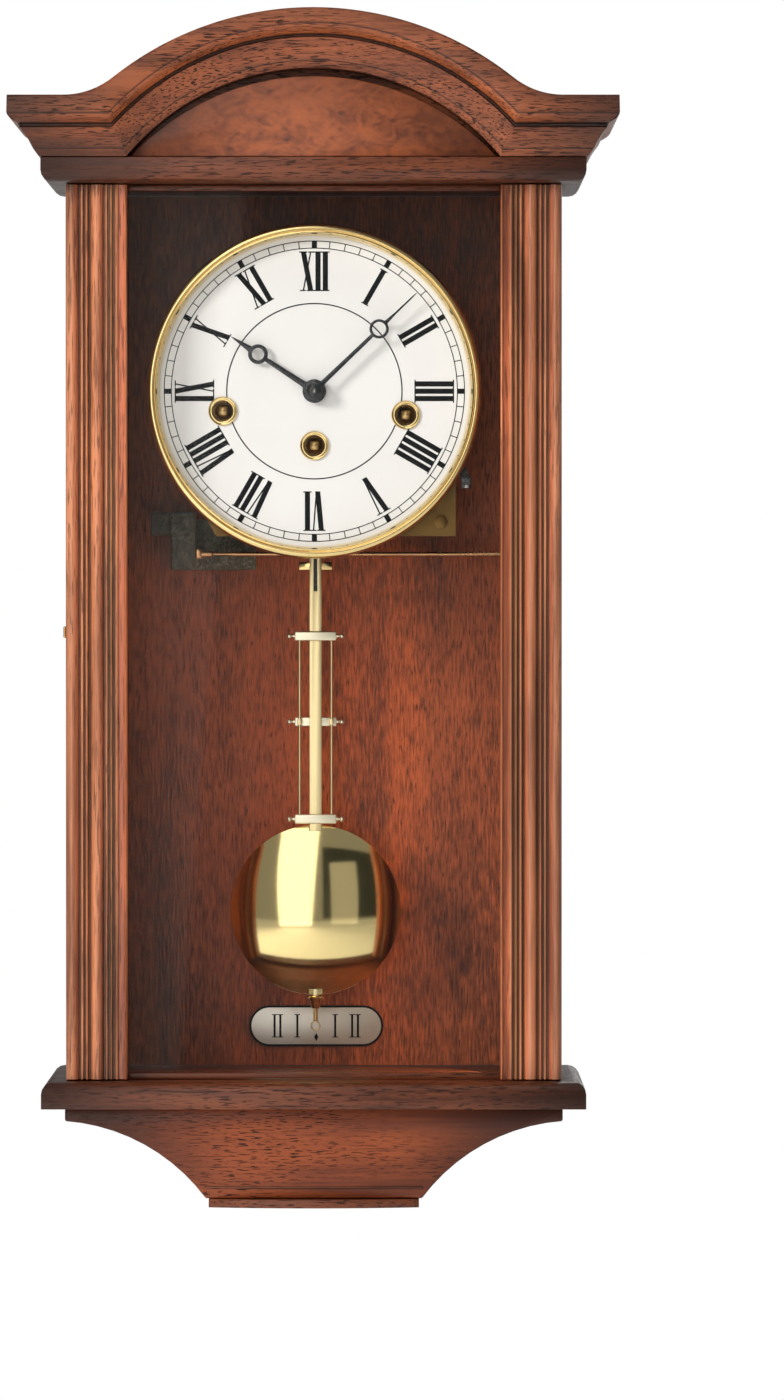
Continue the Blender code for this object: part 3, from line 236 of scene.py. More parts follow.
@functools.cache
def woodPaint(name, stainAndLight=None):
    look = woods[name]
    paint = Paint(name + ("Moulded" if stainAndLight else ""))
    grain = look["grain"]
    warp = paint.noise(alongGrain(grain, 5, 24), 2.0)
    figure = paint.noise(alongGrain(grain, 6, 55), 4.0, 0.55, 0.6)
    streaks = paint.noise(alongGrain(grain, 18, 620), 3.0, 0.6)
    pores = paint.noise(alongGrain(grain, 1000 / look["poreLength"], 1500), 1.5, 0.5)
    poreMask = pores.softStep(0.57, 0.61) * warp.softStep(0.34, 0.52) * look["pores"]
    tone = (figure - 0.5) * look["figure"] + (streaks - 0.5) * 0.45 + (warp - 0.5) * 0.5 + 0.5
    colour = paint.ramp(tone, [
        (0.12, scaled(look["dark"], 0.75)), (0.36, look["dark"]),
        (0.62, look["light"]), (0.92, scaled(look["light"], 1.25)),
    ])
    colour = paint.blend(poreMask, colour, scaled(look["dark"], 0.22))
    if "ends" in look:  # darker towards the ends
        near, far = look["ends"]
        shade = abs(paint.axis("X")).softStep(near, far) * 0.88
        colour = paint.blend(shade, colour, scaled(look["dark"], 0.28))
    if stainAndLight:  # painted highlights and painted shade on a moulding's members, with a little variation in staining, by their place across it
        across = paint.node("ShaderNodeAttribute", {"attribute_name": "member"}, None, "Fac")
        colour = paint.blend(1.0, colour, paint.ramp(across * (1 / 6), memberStainAndLight[stainAndLight]), "MULTIPLY")
    roughness = streaks * 0.16 + poreMask * 0.3 + (look["gloss"] - 0.08)
    paint.bump(streaks * 0.25 + figure * 0.3 - poreMask * 0.9, 0.00022, 0.55)
    return paint.set(
        Base_Color=colour, Roughness=roughness, Coat_Weight=look["coat"], Coat_Roughness=0.2, Specular_IOR_Level=0.28,
    )


def burlPaint():
    paint = Paint("tympanumBurl")
    look = {"light": (0.28, 0.072, 0.022), "middle": (0.185, 0.046, 0.0155), "dark": (0.06, 0.017, 0.008)}
    cloud = paint.noise((24, 24, 44), 5.0, 0.62, 1.6)
    swirl = paint.noise((70, 70, 110), 4.0, 0.55, 2.4)
    eyes = paint.node("ShaderNodeTexVoronoi", None, {"Vector": paint.spot((95, 95, 150)), "Scale": 1.0})
    knots = 1 - eyes.softStep(0.08, 0.24)
    tone = (cloud - 0.5) * 1.1 + (swirl - 0.5) * 0.8 + 0.52 - knots * 0.16
    colour = paint.ramp(tone, [
        (0.15, look["dark"]), (0.42, look["middle"]), (0.62, look["light"]), (0.9, scaled(look["light"], 1.2)),
    ])
    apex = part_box("tympanum_panel")[1]
    # Darker towards both sides; along the top, painted shadow of the crown moulding that overhangs the recessed panel
    edge = abs(paint.axis("X")).softStep(0.02, 0.082)
    top = paint.axis("Z").softStep(apex.z - 0.03, apex.z)
    colour = paint.blend(edge * 0.7, colour, scaled(look["dark"], 0.6))
    colour = paint.blend(top * 0.35, colour, look["dark"])
    paint.bump(swirl * 0.5 + cloud * 0.3, 0.00012, 0.35)
    return paint.set(
        Base_Color=colour, Roughness=swirl * 0.12 + 0.34, Coat_Weight=0.12, Coat_Roughness=0.2,
        Specular_IOR_Level=0.28,
    )


def backPaint():  # the veneered back: soft straight figure, paler in the middle, with one small knot, a painted shadow on its left and painted shade along its top
    paint = Paint("backVeneer")
    tones = {"light": (0.44, 0.1, 0.031), "middle": (0.24, 0.057, 0.0195), "dark": (0.1, 0.0265, 0.011)}
    drift = paint.noise((9, 9, 3.2), 3.0, 0.55, 0.8)
    figure = paint.noise((60, 60, 5), 4.0, 0.6, 0.5)
    mottle = paint.noise((210, 210, 90), 3.0, 0.6, 0.4)
    streaks = paint.noise((1000, 1000, 110), 2.0, 0.5)
    pores = paint.noise((1500, 1500, 150), 1.0).softStep(0.6, 0.68)
    tone = (drift - 0.5) * 1.1 + (figure - 0.5) * 0.7 + (mottle - 0.5) * 0.6 + (streaks - 0.5) * 1.3 + 0.5
    colour = paint.ramp(tone, [
        (0.1, tones["dark"]), (0.4, tones["middle"]), (0.68, tones["light"]), (0.95, scaled(tones["light"], 1.2)),
    ])
    colour = paint.blend(pores * 0.75, colour, scaled(tones["dark"], 0.5))
    low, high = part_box("back_panel")
    knot = paint.node(
        "ShaderNodeVectorMath", {"operation": "DISTANCE"},
        {0: paint.spot((1, 0.2, 0.75)), 1: (0.078, -0.0016, (low.z + 0.052) * 0.75)}, "Value",
    )
    colour = paint.blend((1 - knot.softStep(0.001, 0.006)) * 0.6, colour, scaled(tones["dark"], 0.5))
    # Painted shadow of the left stile, darkening the left of the back
    shaded = 1 - paint.axis("X").softStep(-0.05, 0.055)
    colour = paint.blend(shaded, colour, (0.62, 0.6, 0.6), "MULTIPLY")
    # Painted shade under the top board, darkening the top of the back
    upper = paint.axis("Z").softStep(high.z - 0.16, high.z - 0.02)
    colour = paint.blend(upper * 0.12, colour, scaled(tones["dark"], 0.6))
    paint.bump(figure * 0.4 + streaks * 0.3 - pores * 0.5, 0.00015, 0.35)
    return paint.set(
        Base_Color=colour, Roughness=mottle * 0.14 + 0.38, Coat_Weight=0.08, Coat_Roughness=0.25,
        Specular_IOR_Level=0.25,
    )


def brassPaint(name, colour, roughness, brushed=0.0, tarnish=0.25):
    paint = Paint(name)
    haze = paint.noise((30, 30, 30), 4.0, 0.6)
    lines = paint.noise((2600, 300, 90), 2.0)
    specks = paint.noise((900, 900, 900), 2.0).softStep(0.66, 0.74)
    tone = paint.blend(haze.softStep(0.42, 0.75) * tarnish, colour, scaled(colour, 0.72))
    tone = paint.blend(specks * 0.2, tone, scaled(colour, 0.5))
    paint.bump(lines * (0.2 + brushed) + haze * 0.1, 0.00002, 0.25 + brushed * 0.5)
    return paint.set(Base_Color=tone, Metallic=1.0, Roughness=haze * 0.08 + lines * (0.1 * brushed) + roughness)


def steelPaint(name, colour, roughness):
    paint = Paint(name)
    lines = paint.noise((160, 1900, 160), 3.0)
    smudge = paint.noise((60, 60, 60), 3.0)
    tone = paint.blend(smudge.softStep(0.45, 0.8) * 0.4, colour, scaled(colour, 0.6))
    paint.bump(lines, 0.00002, 0.4)
    return paint.set(Base_Color=tone, Metallic=1.0, Roughness=lines * 0.15 + roughness)


def ironPaint():
    paint = Paint("castIron")
    grit = paint.noise((1100, 1100, 1100), 3.0, 0.6)
    lumps = paint.noise((140, 140, 140), 3.0)
    colour = paint.ramp(grit * 0.7 + lumps * 0.3, [
        (0.35, (0.03, 0.027, 0.022)), (0.52, (0.1, 0.088, 0.068)), (0.7, (0.26, 0.23, 0.18)),
    ])
    paint.bump(grit * 0.6 + lumps * 0.6, 0.0006, 0.8)
    return paint.set(Base_Color=colour, Metallic=0.25, Roughness=grit * 0.25 + 0.55)


def printPaint():  # black dial print
    paint = Paint("dialPrint")
    wear = paint.noise((500, 500, 500), 3.0)
    colour = paint.ramp(wear, [(0.3, (0.003, 0.003, 0.004)), (0.8, (0.01, 0.01, 0.012))])
    return paint.set(Base_Color=colour, Roughness=wear * 0.15 + 0.5, Specular_IOR_Level=0.15)


def dialPaint():
    paint = Paint("dialEnamel")
    cloud = paint.noise((22, 22, 22), 3.0)
    peel = paint.noise((1500, 1500, 1500), 2.0)
    colour = paint.ramp(cloud, [(0.3, (0.865, 0.855, 0.83)), (0.7, (0.9, 0.893, 0.872))])
    paint.bump(peel, 0.00002, 0.25)
    return paint.set(Base_Color=colour, Roughness=peel * 0.1 + 0.36, Coat_Weight=0.15, Coat_Roughness=0.2)


def lacquerPaint(name, colour, roughness):  # glossy paint or moulded plastic
    paint = Paint(name)
    dust = paint.noise((700, 700, 700), 3.0)
    tone = paint.ramp(dust, [(0.35, colour), (0.85, [channel * 1.6 + 0.004 for channel in colour])])
    paint.bump(dust, 0.00002, 0.3)
    return paint.set(Base_Color=tone, Roughness=dust * 0.15 + roughness, Coat_Weight=0.2)


def silverPaint():
    paint = Paint("silveredPlate")
    grain = paint.noise((1400, 60, 60), 3.0)
    haze = paint.noise((45, 45, 45), 3.0)
    colour = paint.ramp(haze, [(0.3, (0.6, 0.57, 0.5)), (0.75, (0.78, 0.75, 0.68))])
    paint.bump(grain, 0.00002, 0.3)
    return paint.set(Base_Color=colour, Metallic=0.75, Roughness=grain * 0.15 + 0.34)


def glassPaint():
    paint = Paint("doorGlass")
    ripple = paint.noise((7, 7, 5), 1.0)
    tint = paint.blend(ripple, (0.02, 0.03, 0.026), (0.035, 0.045, 0.04))
    paint.bump(ripple, 0.0001, 0.1)
    paint.material.surface_render_method = "BLENDED"
    return paint.set(Base_Color=tint, Roughness=0.02, Alpha=0.06, Specular_IOR_Level=0.6)


paints = {
    "walnut": woodPaint("panelWalnut"),
    "dark_walnut": woodPaint("crownWalnut"),
    "burl": burlPaint(),
    "polished_brass": brassPaint("polishedBrass", (0.9, 0.68, 0.3), 0.09),
    "satin_brass": brassPaint("satinBrass", (0.72, 0.5, 0.21), 0.26, 0.4, 0.6),
    # A dark, much tarnished brass whose darkness is also painted shade: for the movement plates, plate nuts and key
    # throats that sit in shadow behind the dial
    "plate_brass": brassPaint("plateBrass", (0.2, 0.115, 0.036), 0.36, 0.5, 0.9),
    "steel": steelPaint("groundSteel", (0.5, 0.5, 0.5), 0.24),
    "cast_iron": ironPaint(),
    "bronze": brassPaint("drawnBronze", (0.56, 0.3, 0.14), 0.22, 0.3, 0.7),
    "dial_white": dialPaint(),
    "hand_black": lacquerPaint("handLacquer", (0.008, 0.009, 0.012), 0.2),
    "silver": silverPaint(),
    "brown_plastic": lacquerPaint("catchPlastic", (0.05, 0.024, 0.014), 0.42),
    "glass": glassPaint(),
    "rod": brassPaint("rodBrass", (0.9, 0.74, 0.4), 0.3, 0.25, 0.15),
    "pale": brassPaint("paleBrass", (1.0, 0.93, 0.7), 0.34, 0.2, 0.1),
    "bob": brassPaint("bobBrass", (0.92, 0.74, 0.34), 0.045, 0.0, 0.1),
    "print": printPaint(),
}
print("finishes made")


# Shape helpers. Each makes a plain mesh whose object stays at the origin.

class Span:  # a part's box, with its front and back counted from the wall
    def __init__(self, node):
        self.low, self.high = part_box(node)
        self.centre = (self.low + self.high) / 2
        self.half = (self.high - self.low) / 2
        self.front = -self.low.y
        self.back = -self.high.y


def addPiece(name, mesh, finish, body, replaced=(), smooth=35.0):
    piece = bpy.data.objects.new(name, mesh)
    bpy.context.scene.collection.objects.link(piece)
    mesh.materials.clear()
    mesh.materials.append(paints.get(finish, finish))
    mesh.shade_smooth()
    mesh.set_sharp_from_angle(angle=math.radians(smooth))
    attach(piece, body)
    if replaced:
        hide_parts(*replaced)


def standIn(name, mesh, finish, node, smooth=40.0):  # a piece that stands for a part
    addPiece(name, mesh, finish, bodyOf[node], [node], smooth)


def meshFrom(shape, outward=True):
    if outward:
        bmesh.ops.recalc_face_normals(shape, faces=shape.faces)
    mesh = bpy.data.meshes.new("piece")
    shape.to_mesh(mesh)
    shape.free()
    return mesh


def joined(meshes):
    shape = bmesh.new()
    for mesh in meshes:
        shape.from_mesh(mesh)
        bpy.data.meshes.remove(mesh)
    return meshFrom(shape, outward=False)


def boxMesh(low, high, bevel=0.0, segments=2):
    low, high = Vector(low), Vector(high)
    shape = bmesh.new()
    bmesh.ops.create_cube(shape, size=1)
    bmesh.ops.scale(shape, vec=high - low, verts=shape.verts)
    bmesh.ops.translate(shape, vec=(high + low) / 2, verts=shape.verts)
    if bevel:
        bmesh.ops.bevel(shape, geom=shape.edges[:], offset=bevel, segments=segments, profile=0.5, affect="EDGES")
    return meshFrom(shape)


def blockMesh(centre, size, bevel, segments=2):
    half = Vector(size) / 2
    return boxMesh(Vector(centre) - half, Vector(centre) + half, bevel, segments)


def lathe(profile, centre, axis="y", steps=96, closed=False):
    # profile holds (radius, place along the axis); "y" counts away from the wall
    shape = bmesh.new()
    rings = []
    for radius, along in profile:
        if radius < 1e-7:
            rings.append([shape.verts.new(turnPoint(0, along, 0, axis))])
            continue
        rings.append([
            shape.verts.new(turnPoint(radius, along, 2 * math.pi * step / steps, axis)) for step in range(steps)
        ])
    pairs = list(zip(rings, rings[1:]))
    if closed:
        pairs.append((rings[-1], rings[0]))
    for near, far in pairs:
        for step in range(steps):
            after = (step + 1) % steps
            corners = [near[step % len(near)], near[after % len(near)], far[after % len(far)], far[step % len(far)]]
            unique = list(dict.fromkeys(corners))
            if len(unique) > 2:
                shape.faces.new(unique)
    bmesh.ops.translate(shape, vec=centre, verts=shape.verts)
    return meshFrom(shape)


def turnPoint(radius, along, angle, axis):
    across = radius * math.cos(angle)
    up = radius * math.sin(angle)
    if axis == "y":
        return (across, -along, up)
    if axis == "x":
        return (along, across, up)
    return (across, up, along)


def arcPoints(centre, radius, first, last, steps):
    return [
        (centre[0] + radius * math.cos(first + (last - first) * step / steps),
         centre[1] + radius * math.sin(first + (last - first) * step / steps))
        for step in range(steps + 1)
    ]


def ringPoints(radius, centre=(0, 0), steps=40):
    return arcPoints(centre, radius, 0, 2 * math.pi, steps)[:-1]


def evaluated(item):  # a plain mesh of an object as its curve or modifiers make it
    bpy.context.view_layer.update()
    return bpy.data.meshes.new_from_object(item.evaluated_get(bpy.context.evaluated_depsgraph_get()))


def flatShape(loops, thickness, bevel=0.0):
    # outline and holes in x and z, filled, with softened edges, centred on y = 0
    curve = bpy.data.curves.new("outline", "CURVE")
    curve.dimensions = "2D"
    curve.fill_mode = "BOTH"
    curve.extrude = thickness / 2 - bevel
    curve.bevel_depth = bevel
    curve.bevel_resolution = 1
    curve.offset = -bevel
    for loop in loops:
        spline = curve.splines.new("POLY")
        spline.points.add(len(loop) - 1)
        for point, (across, up) in zip(spline.points, loop):
            point.co = (across, up, 0, 1)
        spline.use_cyclic_u = True
    drawn = bpy.data.objects.new("outline", curve)
    bpy.context.scene.collection.objects.link(drawn)
    shape = bmesh.new()
    shape.from_mesh(evaluated(drawn))
    bpy.data.objects.remove(drawn)
    bpy.data.curves.remove(curve)
    bmesh.ops.remove_doubles(shape, verts=shape.verts, dist=1e-6)
    bmesh.ops.rotate(shape, matrix=Matrix.Rotation(math.pi / 2, 3, "X"), verts=shape.verts)
    return meshFrom(shape)


def moved(mesh, place, turn=0.0):  # turned clockwise as seen from the front, then moved
    mesh.transform(Matrix.Translation(place) @ Matrix.Rotation(turn, 4, "Y"))
    return mesh


def sweep(rows, members):  # a skin through rows of points, with a number for each point of a row
    shape = bmesh.new()
    layer = shape.verts.layers.float.new("member")
    made = []
    for row in rows:
        made.append([shape.verts.new(point) for point in row])
        for vert, value in zip(made[-1], members):
            vert[layer] = value
    count = len(made[0])
    for near, far in zip(made, made[1:]):
        for index in range(count):
            after = (index + 1) % count
            shape.faces.new((near[index], near[after], far[after], far[index]))
    shape.faces.new(made[0])
    shape.faces.new(made[-1])
    return meshFrom(shape)


def finerCopy(node, finish=None, bevel=0.0, segments=2, name=None):
    # a merged copy of a part with softened edges, which stands for it
    shape = bmesh.new()
    shape.from_mesh(frame["nodes"][node].data)
    bmesh.ops.remove_doubles(shape, verts=shape.verts, dist=2e-6)
    bmesh.ops.dissolve_limit(
        shape, angle_limit=math.radians(0.6), use_dissolve_boundaries=False, verts=shape.verts, edges=shape.edges,
    )
    if bevel:
        sharp = [
            edge for edge in shape.edges
            if edge.is_manifold and edge.calc_face_angle(0) > math.radians(50) and edge.calc_length() > bevel
        ]
        bmesh.ops.bevel(
            shape, geom=sharp, offset=bevel, offset_type="OFFSET", segments=segments, profile=0.5, affect="EDGES",
            clamp_overlap=True,
        )
    bmesh.ops.triangulate(shape, faces=[face for face in shape.faces if len(face.verts) > 4])
    standIn(name or node + "Finished", meshFrom(shape, outward=False), finish or slotOf[node], node, 35.0)


# Geometry Nodes: what repeats round a circle, here the dial's minute lines and five-minute blocks

def repeatTree():
    tree = bpy.data.node_groups.new("repeatRound", "GeometryNodeTree")
    face = tree.interface
    inputs = {}
    for label, kind, start in (
        ("Count", "NodeSocketInt", 12), ("Radius", "NodeSocketFloat", 0.01), ("Size", "NodeSocketVector", (1, 1, 1)),
        ("Centre", "NodeSocketVector", (0, 0, 0)), ("Sides", "NodeSocketInt", 4),
        ("Finish", "NodeSocketMaterial", None),
    ):
        socket = face.new_socket(label, in_out="INPUT", socket_type=kind)
        if start is not None:
            socket.default_value = start
        inputs[label] = socket.identifier
    face.new_socket("Geometry", in_out="OUTPUT", socket_type="NodeSocketGeometry")

    def node(kind, sockets=None, settings=None):
        return addNode(tree, kind, settings, sockets)

    given = node("NodeGroupInput").outputs
    circle = node("GeometryNodeMeshCircle", {"Vertices": given["Count"], "Radius": given["Radius"]})
    index = node("GeometryNodeInputIndex")
    step = node("ShaderNodeMath", {0: 2 * math.pi, 1: given["Count"]}, {"operation": "DIVIDE"})
    angle = node("ShaderNodeMath", {0: index.outputs[0], 1: step.outputs[0]}, {"operation": "MULTIPLY"})
    turn = node("ShaderNodeCombineXYZ", {2: angle.outputs[0]})
    block = node("GeometryNodeMeshCylinder", {"Vertices": given["Sides"], "Radius": math.sqrt(0.5), "Depth": 1.0})
    corner = node("ShaderNodeMath", {0: math.pi, 1: given["Sides"]}, {"operation": "DIVIDE"})
    squared = node("ShaderNodeCombineXYZ", {2: corner.outputs[0]})
    aligned = node("GeometryNodeTransform", {"Geometry": block.outputs["Mesh"], "Rotation": squared.outputs[0]})
    sized = node("GeometryNodeTransform", {"Geometry": aligned.outputs[0], "Scale": given["Size"]})
    placed = node("GeometryNodeInstanceOnPoints", {
        "Points": circle.outputs[0], "Instance": sized.outputs[0], "Rotation": turn.outputs[0],
    })
    whole = node("GeometryNodeRealizeInstances", {0: placed.outputs[0]})
    upright = node("GeometryNodeTransform", {
        "Geometry": whole.outputs[0], "Rotation": (math.pi / 2, 0, 0), "Translation": given["Centre"],
    })
    finished = node("GeometryNodeSetMaterial", {"Geometry": upright.outputs[0], "Material": given["Finish"]})
    node("NodeGroupOutput", {0: finished.outputs[0]})
    return tree, inputs


repeatRound, repeatInputs = repeatTree()


def repeated(count, radius, size, centre, finish, sides=4):
    # size is radial, along the circle, and along y; the circle lies in the plane of the dial
    host = bpy.data.objects.new("repeatHost", bpy.data.meshes.new("empty"))
    bpy.context.scene.collection.objects.link(host)
    modifier = host.modifiers.new("repeat", "NODES")
    modifier.node_group = repeatRound
    values = {"Count": count, "Radius": radius, "Size": size, "Centre": centre, "Sides": sides, "Finish": finish}
    for label, value in values.items():
        modifier[repeatInputs[label]] = value
    mesh = evaluated(host)
    host.modifiers.clear()
    bpy.data.objects.remove(host)
    return mesh


print("helpers ready")


# Case: boards, panels and apron

for node, finish, bevel in (
    ("base_board", "boardWalnut", 0.0004), ("top_board", "boardWalnut", 0.0004),
    ("apron_board", "apronWalnut", 0.0009), ("foot_board", "boardWalnut", 0.0),
    ("side_panel_left", "panelWalnut", 0.0006), ("side_panel_right", "panelWalnut", 0.0006),
    ("apron_side_left", "boardWalnut", 0.0005), ("apron_side_right", "boardWalnut", 0.0005),
    ("pediment_board", "crownWalnut", 0.0004),
):
    finerCopy(node, woodPaint(finish), bevel)
finerCopy("tympanum_panel", "burl", 0.0005)
frame["nodes"]["back_panel"].data.materials[0] = backPaint()

apron = {"beadRise": 0.0055, "beadHeight": 0.0013, "beadProud": 0.0007, "inset": 0.0022}


def buildApronBead():  # a fine scratch bead along the apron's lower edge
    board = Span("apron_board")
    length = 2 * (Span("foot_board").high.x + apron["inset"])
    centre = (0, board.low.y, board.low.z + apron["beadRise"])
    bead = blockMesh(centre, (length, 2 * apron["beadProud"], apron["beadHeight"]), 0.00055, 3)
    addPiece("apronBead", bead, woodPaint("boardWalnut"), "case")


buildApronBead()
print("boards and apron done")

# Crown: an arched moulding with mitred returns. Each member is (projection, drop at the shoulder,
# drop at the apex, step in from the mitre), from the top edge down.
crown = {
    "members": [
        (0.0160, 0.0, 0.0, -0.0060), (0.0162, 0.0092, 0.0078, 0.0), (0.0110, 0.0135, 0.0126, 0.0010),
        (0.0098, 0.0159, 0.0145, 0.0014), (0.0062, 0.0209, 0.0200, 0.0042),
        (0.0034, 0.0261, 0.0257, 0.0068), (0.0008, 0.0297, 0.0290, 0.0082),
    ],
    "mitreIn": 0.0508, "run": 0.0428, "fillet": 0.040, "board": 0.018, "archSteps": 30, "edge": 0.0008,
    "bulge": 0.0009, "groove": 0.0011, "mitreGap": 0.0006,
}
halfBoard = Span("top_board").high.x
boardFront = Span("top_board").front
shoulder = Span("crown_return_left").high.z
apex = Span("crown_moulding").high.z
crownHalf = halfBoard + crown["members"][0][0]
mitre = crownHalf - crown["mitreIn"]


def topOutline(x):
    rise = apex - shoulder
    foot = crownHalf - crown["run"]
    radius = (rise * rise + foot * foot) / (2 * rise)
    centre = apex - radius
    reach = radius + crown["fillet"]
    filletZ = shoulder + crown["fillet"]
    filletX = math.sqrt(reach * reach - (filletZ - centre) ** 2)
    x = abs(x)
    if x >= filletX:
        return shoulder
    if x > filletX * radius / reach:
        return filletZ - math.sqrt(crown["fillet"] ** 2 - (filletX - x) ** 2)
    return centre + math.sqrt(radius * radius - x * x)


def archHeight(x, footX, footZ, apexZ):
    rise = apexZ - footZ
    radius = (rise * rise + footX * footX) / (2 * rise)
    return apexZ - radius + math.sqrt(max(0.0, radius * radius - x * x))


def curveThrough(points, index, share):  # a smooth curve between a list's points
    last = len(points) - 1
    before, start, end, after = (points[max(0, min(last, index + shift))] for shift in (-1, 0, 1, 2))
    return 0.5 * (
        2 * start + (end - before) * share + (2 * before - 5 * start + 4 * end - after) * share ** 2
        + (3 * start - before - 3 * end + after) * share ** 3
    )


def moulded(main, inward):
    # fills a section's main points: a flat fascia, a rounded fillet, a groove, then a smooth cove
    points = [(main[0] + inward * crown["edge"], 0.0)]
    points += [(main[0].lerp(main[1], share), share) for share in (0.1, 0.94)]
    for step in range(1, 8):
        share = step / 8
        bulge = inward * (crown["bulge"] * math.sin(math.pi * share))
        points.append((main[1].lerp(main[2], share) - bulge, 1 + share))
    points.append((main[2], 2.0))
    points += [(main[2].lerp(main[3], share) + inward * crown["groove"], 2 + share) for share in (0.35, 0.75)]
    for index in (0, 1, 2):
        points += [(curveThrough(main[3:], index, step / 5), 3 + index + step / 5) for step in range(5)]
    return points + [(main[6], 6.0)]


def crownRow(position):  # from -2 and 2 at the corners, over -1 and 1 at the mitres
    side = math.copysign(1, position)
    outward = max(abs(position) - 1, 0)
    along = min(abs(position), 1)
    main = []
    reaches = []
    for index, (projection, drop, apexDrop, stepIn) in enumerate(crown["members"]):
        line = mitre - stepIn
        footZ = shoulder - drop
        apexZ = apex - apexDrop
        corner = halfBoard + projection
        footAngle = 2 * math.atan2(apexZ - footZ, line)
        reach = line * math.sin(footAngle * along) / math.sin(footAngle)
        x = reach + (corner - line) * outward
        reaches.append((reach, line))
        z = topOutline(x) if index == 0 else footZ if outward else archHeight(x, line, footZ, apexZ)
        main.append(Vector((side * x, -boardFront - projection, z)))
    filled = moulded(main, Vector((0, 1, 0)))
    inner = halfBoard - crown["board"]
    back = boardFront - crown["board"]
    ends = [reach + (inner - line) * outward for reach, line in (reaches[-1], reaches[0])]
    filled.append((Vector((side * ends[0], -back, main[-1].z)), 6.0))
    filled.append((Vector((side * ends[1], -back, topOutline(ends[1]))), 0.0))
    return filled


def buildCrown():
    arch = [step / crown["archSteps"] for step in range(crown["archSteps"])]
    right = arch + [1 + step / 24 for step in range(13)] + [1.75, 2.0]
    rows = [crownRow(position) for position in [-position for position in reversed(right) if position > 0] + right]
    members = [member for _, member in rows[0]]
    mesh = sweep([[point for point, _ in row] for row in rows], members)
    standIn("crownMoulding", mesh, woodPaint("crownWalnut", "crown"), "crown_moulding", 28)
    for side, sign in (("left", -1), ("right", 1)):
        inner = sign * (halfBoard - crown["board"])
        rows = []
        for front in (True, False):  # the mitred end, then the end at the wall
            gap = crown["mitreGap"] - boardFront
            main = [
                Vector((sign * (halfBoard + projection), gap - projection if front else 0.0, shoulder - drop))
                for projection, drop, _, _ in crown["members"]
            ]
            row = [point for point, _ in moulded(main, Vector((-sign, 0, 0)))]
            backY = gap + crown["board"] if front else 0.0
            rows.append(row + [Vector((inner, backY, main[-1].z)), Vector((inner, backY, shoulder))])
        mesh = sweep(rows, members)
        standIn("crownReturn" + side.capitalize(), mesh, woodPaint("sideWalnut", "crown"), f"crown_return_{side}", 28)


buildCrown()
print("crown done")

# Door: reeded stiles with the glass in their rebates. Reeds are (start, width, height) from the outer edge.
door = {
    "reeds": [
        (0.0, 0.0066, 0.0030), (0.0074, 0.0018, 0.0019), (0.0098, 0.0018, 0.0021), (0.0122, 0.0068, 0.0030),
        (0.0196, 0.0018, 0.0021), (0.0220, 0.0018, 0.0019), (0.0244, 0.0022, 0.0012), (0.02935, 0.0014, 0.0020),
    ],
    "ground": 0.0028, "hollow": 0.0004, "rebate": 0.006, "hingeRadius": 0.0045, "gap": 0.0003,
}


def buildStile(side, hinged):
    node = "door_stile_" + side
    box = Span(node)
    sign = -1 if side == "left" else 1
    outer = max(abs(box.low.x), abs(box.high.x))
    width = box.high.x - box.low.x
    opening = outer - width
    front = box.front - max(height for _, _, height in door["reeds"]) + door["ground"]
    outline = []
    for start, reedWidth, height in door["reeds"]:
        steps = 14 if reedWidth > 0.004 else 8
        for step in range(steps + 1):
            angle = math.pi * step / steps
            along = start + reedWidth * (1 - math.cos(angle)) / 2
            ground = door["ground"] + door["hollow"] * math.sin(math.pi * along / width)
            outline.append((outer - along, ground - front - height * math.sin(angle)))
    face = -Span("door_glass").front - door["gap"]
    outline += [(opening, face), (opening + door["rebate"], face), (opening + door["rebate"], box.high.y)]
    if hinged:  # rounded to turn on its pins
        radius = door["hingeRadius"]
        outline += arcPoints((outer - radius, box.high.y - radius), radius, math.pi / 2, 0, 12)
    else:
        outline.append((outer, box.high.y))
    members = [6 * (outer - x) / width for x, _ in outline]
    rows = [[Vector((sign * x, y, z)) for x, y in outline] for z in (box.low.z, box.centre.z, box.high.z)]
    standIn("reededStile" + side, sweep(rows, members), woodPaint("stileWalnut", "stile"), node, 50)


buildStile("left", False)
buildStile("right", True)
for edge in ("lower", "upper"):
    finerCopy(f"door_rail_{edge}", woodPaint("boardWalnut"), 0.0004, 3)
    frame["nodes"][f"door_pivot_{edge}"].data.materials[0] = paints["steel"]
finerCopy("door_glass", None, 0.0003, 1)
finerCopy("door_pull", None, 0.0012, 4)
finerCopy("magnet_catch", None, 0.0008, 3)


def buildCatchPoles():  # two steel poles in the magnet's face, towards the door
    magnet = Span("magnet_catch")
    size = (0.001, 0.00215, 0.011)
    places = [magnet.centre + Vector((x, 0.000925 - magnet.half.y, 0)) for x in (-0.0022, 0.0022)]
    poles = [blockMesh(place, size, 0.00012, 1) for place in places]
    addPiece("catchPoles", joined(poles), "steel", "case")


buildCatchPoles()
print("door done")

# Hanger plate with its two countersunk screws
hanger = {"screwAcross": 0.0155, "screwDrop": 0.007, "head": 0.0052, "proud": 0.0002, "slot": 0.0009}
finerCopy("hanger_plate", None, 0.00025, 1)


def buildHangerScrews():
    plate = Span("hanger_plate")
    z = plate.high.z - hanger["screwDrop"]
    wall = plate.back - hanger["proud"]
    radius = hanger["head"] / 2
    profile = [(0, wall), (radius * 0.75, wall), (radius, wall + 0.0001), (radius, wall + 0.0005), (0, wall + 0.0005)]
    heads = []
    slotShades = []
    for x in (-hanger["screwAcross"], hanger["screwAcross"]):
        heads.append(lathe(profile, (x, 0, z), steps=32))
        # each screw slot is a thin black sheet on the head: painted shade standing in for the cut groove
        slotShades.append(blockMesh((x, 0.000005 - wall, z), (radius * 1.6, 0.00005, hanger["slot"]), 0.00001, 1))
    addPiece("hangerScrews", joined(heads), "satin_brass", "case")
    addPiece("hangerScrewSlotShades", joined(slotShades), "hand_black", "case")


buildHangerScrews()
print("hanger done")

